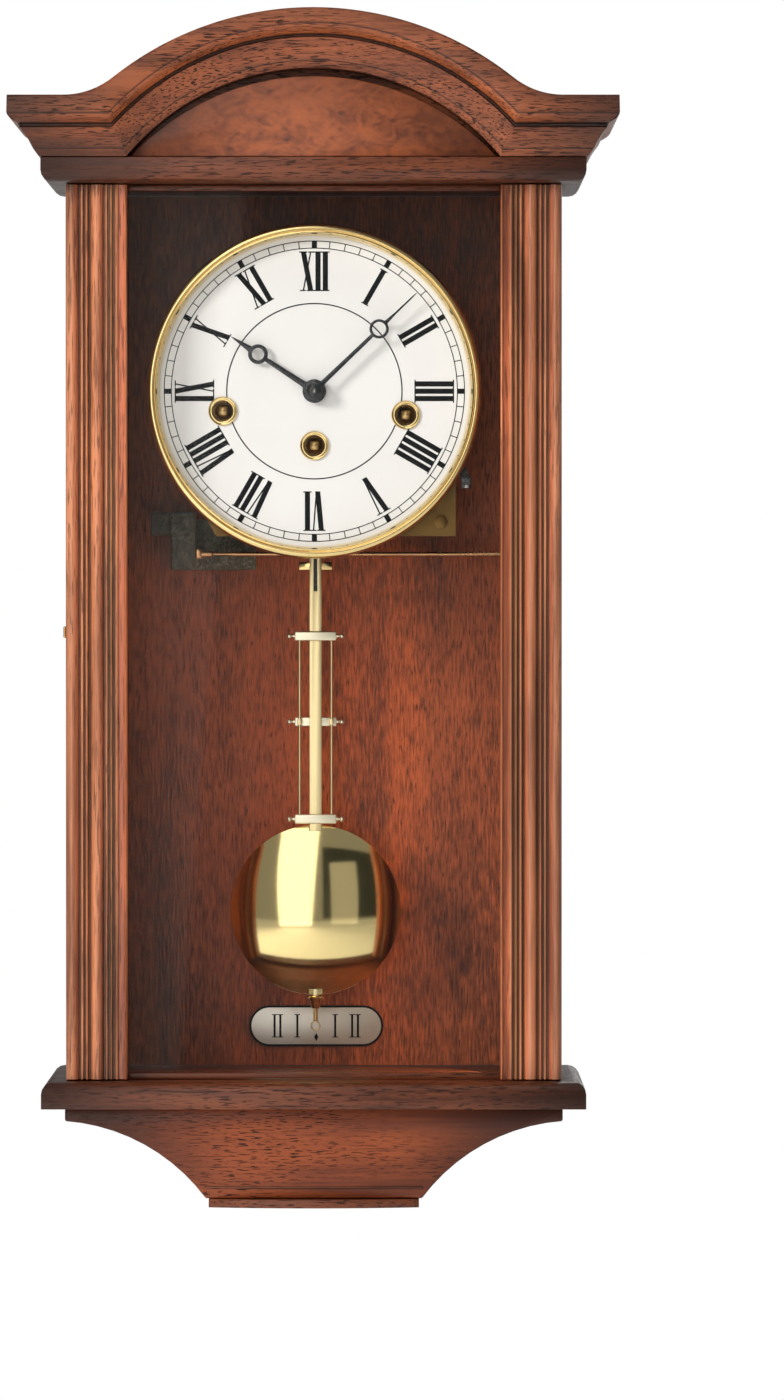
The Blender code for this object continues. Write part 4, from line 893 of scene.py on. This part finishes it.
# Dial: bezel, collars, print and hands
plate = Span("dial_plate")
dialCentre = plate.centre
dialFace = plate.front
dial = {
    "inkDepth": 0.00008, "outerTrack": 0.0759, "innerTrack": 0.0723, "trackLine": 0.00045, "minuteLine": 0.00045,
    "block": 0.0026, "chapterCircle": 0.0443, "chapterLine": 0.00062, "numeralTop": 0.0706, "numeralFoot": 0.0506,
}
frame["nodes"]["dial_plate"].data.materials[0] = paints["dial_white"]


# Turned rims: each row is how far in from the outer edge, and how far behind the front
bezel = {
    "opening": 0.0784, "gap": 0.0003, "bead": 0.0026,
    "rim": [
        (0.00345, 0.0005), (0.0036, 0.0013), (0.0039, 0.0014), (0.0041, 0.0009), (0.0045, 0.0008), (0.0049, 0.0017),
        (0.0053, 0.0033), (0.0057, 0.0053), (0.00598, 0.0074),
    ],
}
collar = {
    "tube": 0.0012, "bore": 0.00205, "flange": 0.0002,
    "rim": [
        (0.00015, 0.0003), (0.0005, 0.00005), (0.0009, 0.00012), (0.00125, 0.00035), (0.0016, 0.00028),
        (0.00195, 0.0004), (0.00205, 0.0007),
    ],
    "sleeve": [(0.0038, 0.0065), (0.0036, 0.0095), (0.0040, 0.0095)],  # radius, and how far behind the front
}


def buildBezel():
    box = Span("bezel")
    outer = box.high.x
    rear = dialFace + bezel["gap"]
    seat = plate.high.x + bezel["gap"]
    bead = bezel["bead"]
    profile = [(outer, box.back), (outer, box.front - 2 * bead)]
    profile += arcPoints((outer - bead, box.front - bead), bead, 0, math.radians(100), 10)
    profile += [(outer - inward, box.front - drop) for inward, drop in bezel["rim"]]
    profile += [(bezel["opening"] + 0.0001, rear + 0.0006), (bezel["opening"], rear), (seat, rear), (seat, box.back)]
    mesh = lathe(profile, (dialCentre.x, 0, dialCentre.z), steps=160, closed=True)
    standIn("bezelRing", mesh, "polished_brass", "bezel")


def buildCollar(side):
    box = Span(f"winding_collar_{side}")
    centre = (box.centre.x, 0, box.centre.z)
    outer = box.half.x
    flange = dialFace + bezel["gap"]
    profile = [(outer - collar["tube"], box.back), (outer - collar["tube"], flange), (outer, flange)]
    profile.append((outer, flange + collar["flange"]))
    profile += [(outer - inward, box.front - drop) for inward, drop in collar["rim"]]
    profile.append((outer - collar["bore"], box.back))
    mesh = lathe(profile, centre, steps=64, closed=True)
    standIn("collar" + side.capitalize(), mesh, "polished_brass", f"winding_collar_{side}")
    mouth = outer - 0.0022  # the tapered brass throat behind the collar, round its winding square
    profile = [(mouth, box.front - 0.001), (mouth - 0.0002, box.front - 0.001)]
    profile += [(radius, box.front - drop) for radius, drop in collar["sleeve"]] + [(mouth, box.front - 0.0062)]
    sleeve = lathe(profile, centre, steps=48, closed=True)
    addPiece("keySleeve" + side.capitalize(), sleeve, "plate_brass", "case")


buildBezel()
for side in ("left", "centre", "right"):
    buildCollar(side)

# Roman numerals: strokes are quadrilaterals between a numeral's foot (0) and its top (1)
letter = {"thick": 0.0026, "thin": 0.0007, "serif": 0.0006, "serifOut": 0.0008}
letterWidths = {"I": 0.0037, "V": 0.0070, "X": 0.0074}


def stroke(footX, topX, width, low=0.0, high=1.0):
    def acrossAt(share):
        return footX + (topX - footX) * share
    half = width / 2
    return [
        (acrossAt(low) - half, low), (acrossAt(low) + half, low),
        (acrossAt(high) + half, high), (acrossAt(high) - half, high),
    ]


def serifs(middle, width, at):
    half = width / 2 + letter["serifOut"]
    thickness = letter["serif"] / (dial["numeralTop"] - dial["numeralFoot"])
    low = 0.0 if at == 0 else 1 - thickness
    high = low + thickness
    return [(middle - half, low), (middle + half, low), (middle + half, high), (middle - half, high)]


def letterShapes(kind, left):
    width = letterWidths[kind]
    middle = left + width / 2
    thick = letter["thick"]
    thin = letter["thin"]
    if kind == "I":
        return [stroke(middle, middle, thick), serifs(middle, thick, 0), serifs(middle, thick, 1)]
    if kind == "V":
        leftTop = left + 0.0018
        rightTop = left + width - 0.0012
        return [
            stroke(middle + 0.0002, leftTop, thick), stroke(middle + 0.0008, rightTop, thin),
            serifs(leftTop, thick, 1), serifs(rightTop, thin * 2, 1),
        ]
    leftEnd = left + 0.0018
    rightEnd = left + width - 0.0018
    return [
        stroke(rightEnd, leftEnd, thick), stroke(leftEnd, rightEnd, thin), serifs(rightEnd, thick, 0),
        serifs(leftEnd, thick, 1), serifs(leftEnd - 0.0002, thin * 2, 0), serifs(rightEnd + 0.0002, thin * 2, 1),
    ]


def buildPrint():
    depth = dial["inkDepth"]
    surface = -dialFace - depth / 2
    meshes = []
    foot = dial["numeralFoot"]
    height = dial["numeralTop"] - foot
    for hour, numeral in enumerate(("XII", "I", "II", "III", "IIII", "V", "VI", "VII", "VIII", "IX", "X", "XI")):
        left = -sum(letterWidths[kind] for kind in numeral) / 2
        layer = 0
        for kind in numeral:
            for outline in letterShapes(kind, left):
                shape = flatShape([[(x, foot + share * height) for x, share in outline]], depth)
                # each stroke sits a hair above the last, so that crossing strokes never share a plane
                place = Vector((dialCentre.x, surface - layer * 0.000002, dialCentre.z))
                meshes.append(moved(shape, place, hour * math.pi / 6))
                layer += 1
            left += letterWidths[kind]
    for circle, line in (("outerTrack", "trackLine"), ("innerTrack", "trackLine"), ("chapterCircle", "chapterLine")):
        inner = dial[circle] - dial[line] / 2
        outer = dial[circle] + dial[line] / 2
        profile = [(outer, dialFace), (outer, dialFace + depth), (inner, dialFace + depth), (inner, dialFace)]
        meshes.append(lathe(profile, (dialCentre.x, 0, dialCentre.z), steps=144, closed=True))
    track = (dial["outerTrack"] + dial["innerTrack"]) / 2
    span = dial["outerTrack"] - dial["innerTrack"]
    for count, width, lift in ((60, dial["minuteLine"], 0.00001), (12, dial["block"], 0.00002)):
        centre = (dialCentre.x, surface - lift, dialCentre.z)
        meshes.append(repeated(count, track, (span, width, depth), centre, paints["print"]))
    addPiece("dialNumerals", joined(meshes), "print", "case")


buildPrint()
print("dial done")


hands = {
    "hour": {
        "length": 0.050, "hub": 0.0060, "arm": 0.0030, "ringAt": 0.034, "ring": 0.0050, "hole": 0.0031, "tip": 0.0011,
        "bore": 0.0039, "angle": -56.8,
    },
    "minute": {
        "length": 0.0715, "hub": 0.0052, "arm": 0.0024, "ringAt": 0.0453, "ring": 0.0049, "hole": 0.0035,
        "tip": 0.0007, "bore": 0.0025, "angle": 46.3,
    },
}


def handOutline(look):
    ring, hub, tip, ringAt = (look[key] for key in ("ring", "hub", "tip", "ringAt"))
    half = look["arm"] / 2
    right = [(0.00018, look["length"]), (tip * 0.55, look["length"] - 0.003)]
    right += [(tip * 0.8, ringAt + ring + 0.006), (tip * 1.25, ringAt + ring + 0.0012)]
    right += arcPoints((0, ringAt), ring, math.acos(tip * 1.5 / ring), -math.acos(half * 0.75 / ring), 26)
    right += [(half * 0.8, ringAt - ring - 0.002), (half, hub + 0.002)]
    right += arcPoints((0, 0), hub, math.acos(half * 1.15 / hub), -math.pi / 2 + 0.04, 22)
    return right + [(-x, z) for x, z in reversed(right)]


def buildHand(name, look):
    box = Span(name + "_hand")
    loops = [handOutline(look), ringPoints(look["hole"], (0, look["ringAt"])), ringPoints(look["bore"])]
    mesh = flatShape(loops, 2 * box.half.y, 0.00018)
    place = (dialCentre.x, box.centre.y, dialCentre.z)
    standIn(name + "HandShaped", moved(mesh, place, math.radians(look["angle"])), "hand_black", name + "_hand")


for name, look in hands.items():
    buildHand(name, look)


def buildHandNut():
    box = Span("hand_nut")
    radius = box.half.x
    bore = 0.0014
    foot = box.back + 0.0009
    profile = [(bore, box.back), (radius - 0.0001, box.back), (radius, box.back + 0.0002)]
    for step in range(9):
        angle = math.pi / 2 * step / 8
        profile.append((bore + (radius - bore) * math.cos(angle), foot + (box.front - foot) * math.sin(angle)))
    mesh = lathe(profile, (box.centre.x, 0, box.centre.z), steps=64, closed=True)
    standIn("handNutDomed", mesh, "hand_black", "hand_nut")


buildHandNut()
print("hands done")

# Pendulum: leader, slotted rod, lyre frame, bob, rating nut and its wire loop
pendulum = {
    "slotHalf": 0.0009, "slotTop": 0.004, "slotLength": 0.023, "threadRadius": 0.00115, "threadPitch": 0.0006,
    "loop": 0.0022, "wire": 0.00042, "knob": 0.0015, "sideRod": 0.0008, "barHeight": 0.0049, "barHalf": 0.011,
    "spread": 0.0082, "middleBar": 0.0499, "dome": 0.010,
}


def buildRod():
    box = Span("pendulum_rod")
    half = box.high.x
    middle = box.centre.y
    pitch = pendulum["threadPitch"]
    thread = pendulum["threadRadius"]
    tail = Span("pendulum_bob").low.z + 0.004
    end = box.low.z + 0.0052
    right = [(half, box.high.z), (half, tail), (thread, tail - 0.001), (thread, end)]
    slotHalf = pendulum["slotHalf"]
    slotTop = box.high.z - pendulum["slotTop"]
    slotEnd = slotTop - pendulum["slotLength"]
    slot = [(-slotHalf, slotEnd), (slotHalf, slotEnd), (slotHalf, slotTop), (-slotHalf, slotTop)]
    strip = flatShape([right + [(-x, z) for x, z in reversed(right)], slot], 2 * box.half.y, 0.00022)
    turns = [(0, end - 0.0004)]
    for step in range(round((Span("rating_nut").high.z - end) / pitch) + 1):
        z = end + pitch * step
        turns += [(thread * 0.86, z), (thread * 1.12, z + pitch / 2)]
    turns.append((0, turns[-1][1] + 0.0002))
    stud = lathe(turns, (0, middle, 0), "z", 24)
    loop = wireRing((0, middle, box.low.z + pendulum["loop"] + 0.0004), pendulum["loop"], pendulum["wire"])
    standIn("rodSlotted", joined([moved(strip, (0, middle, 0)), stud, loop]), "rod", "pendulum_rod")
    # dark strip that closes the slot from behind, where the suspension hook sits: painted shade that keeps the slot
    # black
    back = box.high.y + 0.00004
    low = (-half * 0.72, back, slotEnd - 0.001)
    slotShade = boxMesh(low, (half * 0.72, back + 0.0002, slotTop + 0.001), 0.00005, 1)
    addPiece("slotShadeStrip", slotShade, "hand_black", "pendulum")


def wireRing(centre, radius, thickness, steps=40, sides=10):
    shape = bmesh.new()
    rings = []
    for step in range(steps):
        angle = 2 * math.pi * step / steps
        ring = []
        for side in range(sides):
            around = 2 * math.pi * side / sides
            reach = radius + thickness * math.cos(around)
            ring.append(shape.verts.new((
                centre[0] + reach * math.cos(angle), centre[1] + thickness * math.sin(around),
                centre[2] + reach * math.sin(angle),
            )))
        rings.append(ring)
    for index, ring in enumerate(rings):
        after = rings[(index + 1) % steps]
        for side in range(sides):
            beside = (side + 1) % sides
            shape.faces.new((ring[side], ring[beside], after[beside], after[side]))
    return meshFrom(shape)


def crossbar(centre, half, depth):  # a small bar with a turned knob at each end
    bodyHalf = pendulum["barHalf"]
    meshes = [blockMesh(centre, (2 * bodyHalf, depth, pendulum["barHeight"]), 0.0008, 3)]
    knob = min(pendulum["knob"], depth * 0.62)
    profile = [(0, bodyHalf - 0.0006), (knob * 0.75, bodyHalf - 0.0006), (knob * 0.72, bodyHalf + 0.0005)]
    profile += [(knob * 0.42, bodyHalf + 0.0009), (knob * 0.4, half - 2 * knob + 0.0001)]
    for step in range(8):
        angle = math.radians(-66 + 156 * step / 8)
        profile.append((knob * math.cos(angle), half - knob + knob * math.sin(angle)))
    profile.append((0, half))
    for side in (-1, 1):
        meshes.append(lathe([(radius, side * along) for radius, along in profile], centre, "x", 24))
    return meshes


def buildLyre():
    box = Span("lyre_frame")
    rodFront = Span("pendulum_rod").low.y
    depth = rodFront - 0.0003 - box.low.y
    front = box.low.y + depth / 2
    behind = box.high.y - depth / 2
    low = box.low.z + pendulum["barHeight"] / 2
    high = box.high.z - pendulum["barHeight"] / 2
    middle = low + pendulum["middleBar"]
    bars = []
    for y, z in ((front, low), (front, high), (behind, middle)):
        bars += crossbar((0, y, z), box.high.x, depth)
    wires = []
    radius = pendulum["sideRod"]
    for x in (-pendulum["spread"], pendulum["spread"]):
        wires.append(lathe([(0, low), (radius, low), (radius, high), (0, high)], (x, rodFront - 0.0004, 0), "z", 20))
        wires.append(boxMesh(
            (x - 0.0012, rodFront - 0.0012, middle - 0.0016), (x + 0.0012, behind, middle + 0.0016), 0.0004, 2,
        ))
    standIn("lyreBars", joined(bars), "pale", "lyre_frame")
    addPiece("lyreWires", joined(wires), "rod", "pendulum")


def cutThrough(mesh, low, high):  # the mesh with a box-shaped way through it
    body = bpy.data.objects.new("uncut", mesh)
    tool = bpy.data.objects.new("tool", boxMesh(low, high, 0.0001, 1))
    for item in (body, tool):
        bpy.context.scene.collection.objects.link(item)
    cut = body.modifiers.new("cut", "BOOLEAN")
    cut.object = tool
    cut.solver = "EXACT"
    made = evaluated(body)
    for item in (body, tool):
        bpy.data.objects.remove(item)
    return made


def buildBob():  # a domed disc with a way through it for its rod
    box = Span("pendulum_bob")
    rod = Span("pendulum_rod")
    radius = box.half.x
    sphere = (radius ** 2 + pendulum["dome"] ** 2) / (2 * pendulum["dome"])
    rim = box.front - pendulum["dome"]
    profile = [(0, box.back), (radius - 0.0012, box.back), (radius - 0.0004, box.back + 0.0003)]
    profile += [(radius, box.back + 0.001), (radius, rim - 0.0004), (radius - 0.0002, rim + 0.0001)]
    for step in range(35, -1, -1):
        reach = (radius - 0.0005) * step / 36
        profile.append((reach, box.front + math.sqrt(sphere ** 2 - reach ** 2) - sphere))
    disc = lathe(profile, (box.centre.x, 0, box.centre.z), steps=160)
    low = (rod.low.x - 0.0004, rod.low.y - 0.0008, box.low.z - 0.01)
    high = (rod.high.x + 0.0004, rod.high.y + 0.0008, box.high.z + 0.01)
    standIn("bobPolished", cutThrough(disc, low, high), "bob", "pendulum_bob")


def buildRatingNut():
    box = Span("rating_nut")
    top = box.high.z
    bottom = box.low.z
    bore = 0.0017
    outer = box.half.x
    profile = [
        (bore, top), (outer - 0.0006, top), (outer - 0.0001, top - 0.0004), (outer - 0.0002, top - 0.0011),
        (outer - 0.0012, top - 0.0022), (outer - 0.0016, top - 0.0034), (0.0022, bottom + 0.0005), (0.0019, bottom),
        (bore, bottom),
    ]
    meshes = [lathe(profile, (box.centre.x, box.centre.y, 0), "z", 48, closed=True)]
    reach = outer - 0.00018
    for step in range(28):
        angle = 2 * math.pi * step / 28
        ridge = boxMesh((-0.0002, -0.00018, top - 0.0012), (0.00015, 0.00018, top - 0.0004), 0.00008, 1)
        place = (box.centre.x + reach * math.cos(angle), box.centre.y + reach * math.sin(angle), 0)
        ridge.transform(Matrix.Translation(place) @ Matrix.Rotation(angle, 4, "Z"))
        meshes.append(ridge)
    standIn("ratingNutKnurled", joined(meshes), "polished_brass", "rating_nut", 35)


finerCopy("pendulum_leader", "polished_brass", 0.0003, 1, "leaderStrip")
buildRod()
buildLyre()
buildBob()
buildRatingNut()
print("pendulum done")

# Beat scale under the bob: silvered plate, dark border and plain strokes
beat = {
    "border": 0.0011, "depth": 0.00012, "strokes": (-0.0216, -0.0186, -0.0098, 0.0098, 0.0186, 0.0216),
    "height": 0.0116, "thick": 0.0011, "serif": 0.0009, "serifThick": 0.0005,
}


def stadium(halfWidth, halfHeight, steps=24):
    straight = halfWidth - halfHeight
    right = arcPoints((straight, 0), halfHeight, -math.pi / 2, math.pi / 2, steps)
    return right + [(-x, -z) for x, z in right]


def buildBeatScale():
    box = Span("beat_plate")
    half = box.half
    depth = beat["depth"]
    rim = stadium(half.x, half.z)
    standIn("beatScale", moved(flatShape([rim], 2 * half.y, 0.00012), box.centre), "silver", "beat_plate")
    mark = Vector((box.centre.x, box.low.y - depth / 2, box.centre.z))
    inner = stadium(half.x - beat["border"], half.z - beat["border"])
    meshes = [moved(flatShape([rim, inner], depth), mark)]
    bars = [(beat["thick"], beat["height"], 0)]
    bars += [
        (beat["thick"] + 2 * beat["serif"], beat["serifThick"], side * beat["height"] / 2) for side in (-1, 1)
    ]
    for x in beat["strokes"]:
        for width, height, lift in bars:
            meshes.append(blockMesh(mark + Vector((x, 0, lift)), (width, depth, height), 0.00003, 1))
    diamond = [(0, 0.0022), (0.0011, 0), (0, -0.0022), (-0.0011, 0)]
    for lift in (-0.0058, 0.0044):
        meshes.append(moved(flatShape([diamond], depth), mark + Vector((0, 0, lift))))
    addPiece("beatMarks", joined(meshes), "print", "case")


buildBeatScale()

# Chime: cast block, tapered rods with their ferrules, and hammers
chime = {
    "rod": 0.00125, "bar": 0.0031, "neck": 0.00075, "neckLength": 0.012, "ferrule": 0.0019, "ferruleLength": 0.005,
}


def buildChimeRods():
    box = Span("chime_rods")
    joints = frame["record"]["behaviour"]["joints"]
    planes = sorted(joint["pos_m"][1] for joint in joints if joint["name"].startswith("hammer_"))
    radius, neck, ferrule = (chime[key] for key in ("rod", "neck", "ferrule"))
    bar = box.low.x + chime["bar"]
    ferruleEnd = bar + chime["ferruleLength"]
    neckEnd = bar + chime["neckLength"]
    meshes = [boxMesh((box.low.x, planes[0] - 0.0025, box.low.z), (bar, planes[-1] + 0.0025, box.high.z), 0.0005, 2)]
    for index, y in enumerate(reversed(planes)):
        end = box.high.x - 0.004 * index  # each rod is a little shorter than the one behind it
        profile = [
            (0, bar - 0.001), (ferrule, bar - 0.001), (ferrule, ferruleEnd), (neck, ferruleEnd + 0.0008),
            (neck, neckEnd), (radius, neckEnd + 0.004), (radius, end - 0.0004), (radius * 0.7, end), (0, end),
        ]
        meshes.append(lathe(profile, (0, y, box.centre.z), "x", 24))
    standIn("chimeRodsTapered", joined(meshes), "bronze", "chime_rods")


buildChimeRods()
finerCopy("chime_block", None, 0.0011, 3, "chimeBlockCast")
for index in range(1, 5):
    finerCopy(f"hammer_{index}", None, 0.0004, 2)
print("chime done")

# Movement: a finish, the softening of edges, and the parts that have them
for finish, bevel, nodes in (
    ("plate_brass", 0.0, ("front_plate", "back_plate")),
    ("satin_brass", 0.0, ("barrel_left", "barrel_centre", "barrel_right")),
    ("satin_brass", 0.0, ("winding_arbor_left", "winding_arbor_centre", "winding_arbor_right")),
    ("hand_black", 0.0003, ("silent_lever",)), ("satin_brass", 0.0004, ("suspension_cock",)),
    ("steel", 0.0, ("hand_arbor",)), ("satin_brass", 0.0, ("hour_wheel", "minute_wheel", "escape_wheel")),
    ("steel", 0.0, ("pallet_anchor",)),
):
    for node in nodes:
        finerCopy(node, finish, bevel, 1)


def buildLeverToe():  # bright steel toe on the black lever
    lever = Span("silent_lever")
    low = (lever.high.x - 0.0034, lever.low.y - 0.0003, lever.low.z + 0.0001)
    high = (lever.high.x - 0.0008, lever.high.y + 0.0003, lever.low.z + 0.0022)
    addPiece("leverToe", boxMesh(low, high, 0.0006, 3), "steel", "lever")


def buildPlateNuts():  # a hexagon nut and washer on each pillar, in front of the movement's plate
    face = 0.0886
    foot = Span("back_plate").low.z
    washer = [(0, face + 0.0002), (0.0044, face + 0.0002), (0.0044, face + 0.0007), (0, face + 0.0007)]
    nut = [(0, face + 0.0007), (0.0037, face + 0.0007), (0.0037, face + 0.0029), (0.0031, face + 0.0032)]
    nut.append((0, face + 0.0032))
    meshes = []
    for x, rise in ((-0.056, 0.026), (0.064, 0.007), (0.061, 0.108), (-0.061, 0.108)):
        centre = (x, 0, foot + rise)
        meshes += [lathe(washer, centre, steps=32), lathe(nut, centre, steps=6)]
    addPiece("plateNuts", joined(meshes), "plate_brass", "case")


buildLeverToe()
buildPlateNuts()
print("movement done")

# Room, light and camera
room = {"floorDrop": 1.1, "floorHalf": 8.0, "background": (1.0, 1.0, 1.0), "fill": (0.30, 0.295, 0.29)}
lamps = {  # place, width and height, power in watts, colour, and whether metal mirrors it
    "windowLeft": {"at": (-0.95, -4.3, 1.5), "size": (1.9, 6.4), "power": 76, "mirrored": True},
    "sideKey": {"at": (-3.6, -3.0, 1.6), "size": (1.1, 1.5), "power": 205, "mirrored": False},
    "paleScreen": {"at": (1.3, -4.3, 0.3), "size": (1.3, 3.0), "power": 5.5, "mirrored": True},
    "overhead": {"at": (0.3, -1.6, 3.0), "size": (2.2, 1.4), "power": 12, "mirrored": True},
    "rearFill": {"at": (1.5, 3.6, 1.2), "size": (2.6, 2.6), "power": 26, "mirrored": True},
    "innerBounce": {
        "at": (0.085, -0.06, -0.33), "size": (0.02, 0.3), "power": 0.35, "mirrored": False,
        "toward": (-1, -0.45, 0), "colour": (1.0, 0.72, 0.42),
    },
}
darkScreen = {"from": (0.35, -5.22, -1.0), "to": (4.8, -5.2, 3.4)}  # gives polished metal its dark side
aim = Vector((0, -0.07, -0.19))


def buildRoom():
    half = room["floorHalf"]
    z = partsBox[0].z - room["floorDrop"]
    pale = Paint("paleFloor")
    tone = pale.ramp(pale.noise((3, 3, 3)), [(0.3, (0.86, 0.86, 0.86)), (0.7, (0.89, 0.89, 0.89))])
    pale.set(Base_Color=tone, Roughness=0.7, Emission_Color=(1, 1, 1), Emission_Strength=0.3)
    felt = Paint("blackFelt")
    felt.set(Base_Color=(0.03, 0.035, 0.028), Roughness=0.9)
    for name, mesh, paint in (
        ("floor", boxMesh((-half, -half, z - 0.05), (half, half, z), 0.01, 2), pale),
        ("darkScreen", boxMesh(darkScreen["from"], darkScreen["to"], 0.002, 1), felt),
    ):
        mesh.materials.append(paint.material)
        staged = bpy.data.objects.new(name, mesh)
        bpy.context.scene.collection.objects.link(staged)
        staged.visible_camera = name == "floor"


def buildWorld():
    world = bpy.data.worlds.new("studio")
    world.use_nodes = True
    nodes = world.node_tree.nodes
    links = world.node_tree.links
    path = nodes.new("ShaderNodeLightPath")
    seen = nodes.new("ShaderNodeBackground")
    seen.inputs["Color"].default_value = rgb(room["background"])
    share = nodes.new("ShaderNodeMixShader")
    links.new(path.outputs["Is Camera Ray"], share.inputs[0])
    nodes["Background"].inputs["Color"].default_value = rgb(room["fill"])
    links.new(nodes["Background"].outputs[0], share.inputs[1])
    links.new(seen.outputs[0], share.inputs[2])
    links.new(share.outputs[0], nodes["World Output"].inputs["Surface"])
    bpy.context.scene.world = world


def buildLamps():
    for name, look in lamps.items():
        light = bpy.data.lights.new(name, "AREA")
        light.shape = "RECTANGLE"
        light.size, light.size_y = look["size"]
        light.energy = look["power"]
        light.color = look.get("colour", (1.0, 0.98, 0.95))
        lamp = bpy.data.objects.new(name, light)
        lamp.location = look["at"]
        toward = Vector(look["toward"]) if "toward" in look else aim - Vector(look["at"])
        lamp.rotation_euler = toward.to_track_quat("-Z", "Y").to_euler()
        lamp.visible_glossy = look["mirrored"]
        lamp.visible_camera = False
        bpy.context.scene.collection.objects.link(lamp)


view = {"from": (0.03925, -3.944, -0.1845), "to": (0.03925, -0.144, -0.237), "lens": 195.4}


def buildCamera():
    camera = bpy.data.objects.new("camera", bpy.data.cameras.new("camera"))
    camera.location = view["from"]
    direction = Vector(view["to"]) - Vector(view["from"])
    camera.rotation_euler = direction.to_track_quat("-Z", "Y").to_euler()
    camera.data.lens = view["lens"]
    camera.data.sensor_width = 36
    camera.data.clip_end = 60
    bpy.context.scene.collection.objects.link(camera)
    bpy.context.scene.camera = camera


buildRoom()
buildWorld()
buildLamps()
buildCamera()
bpy.context.scene.view_settings.view_transform = "Standard"
print("room, light and camera done")
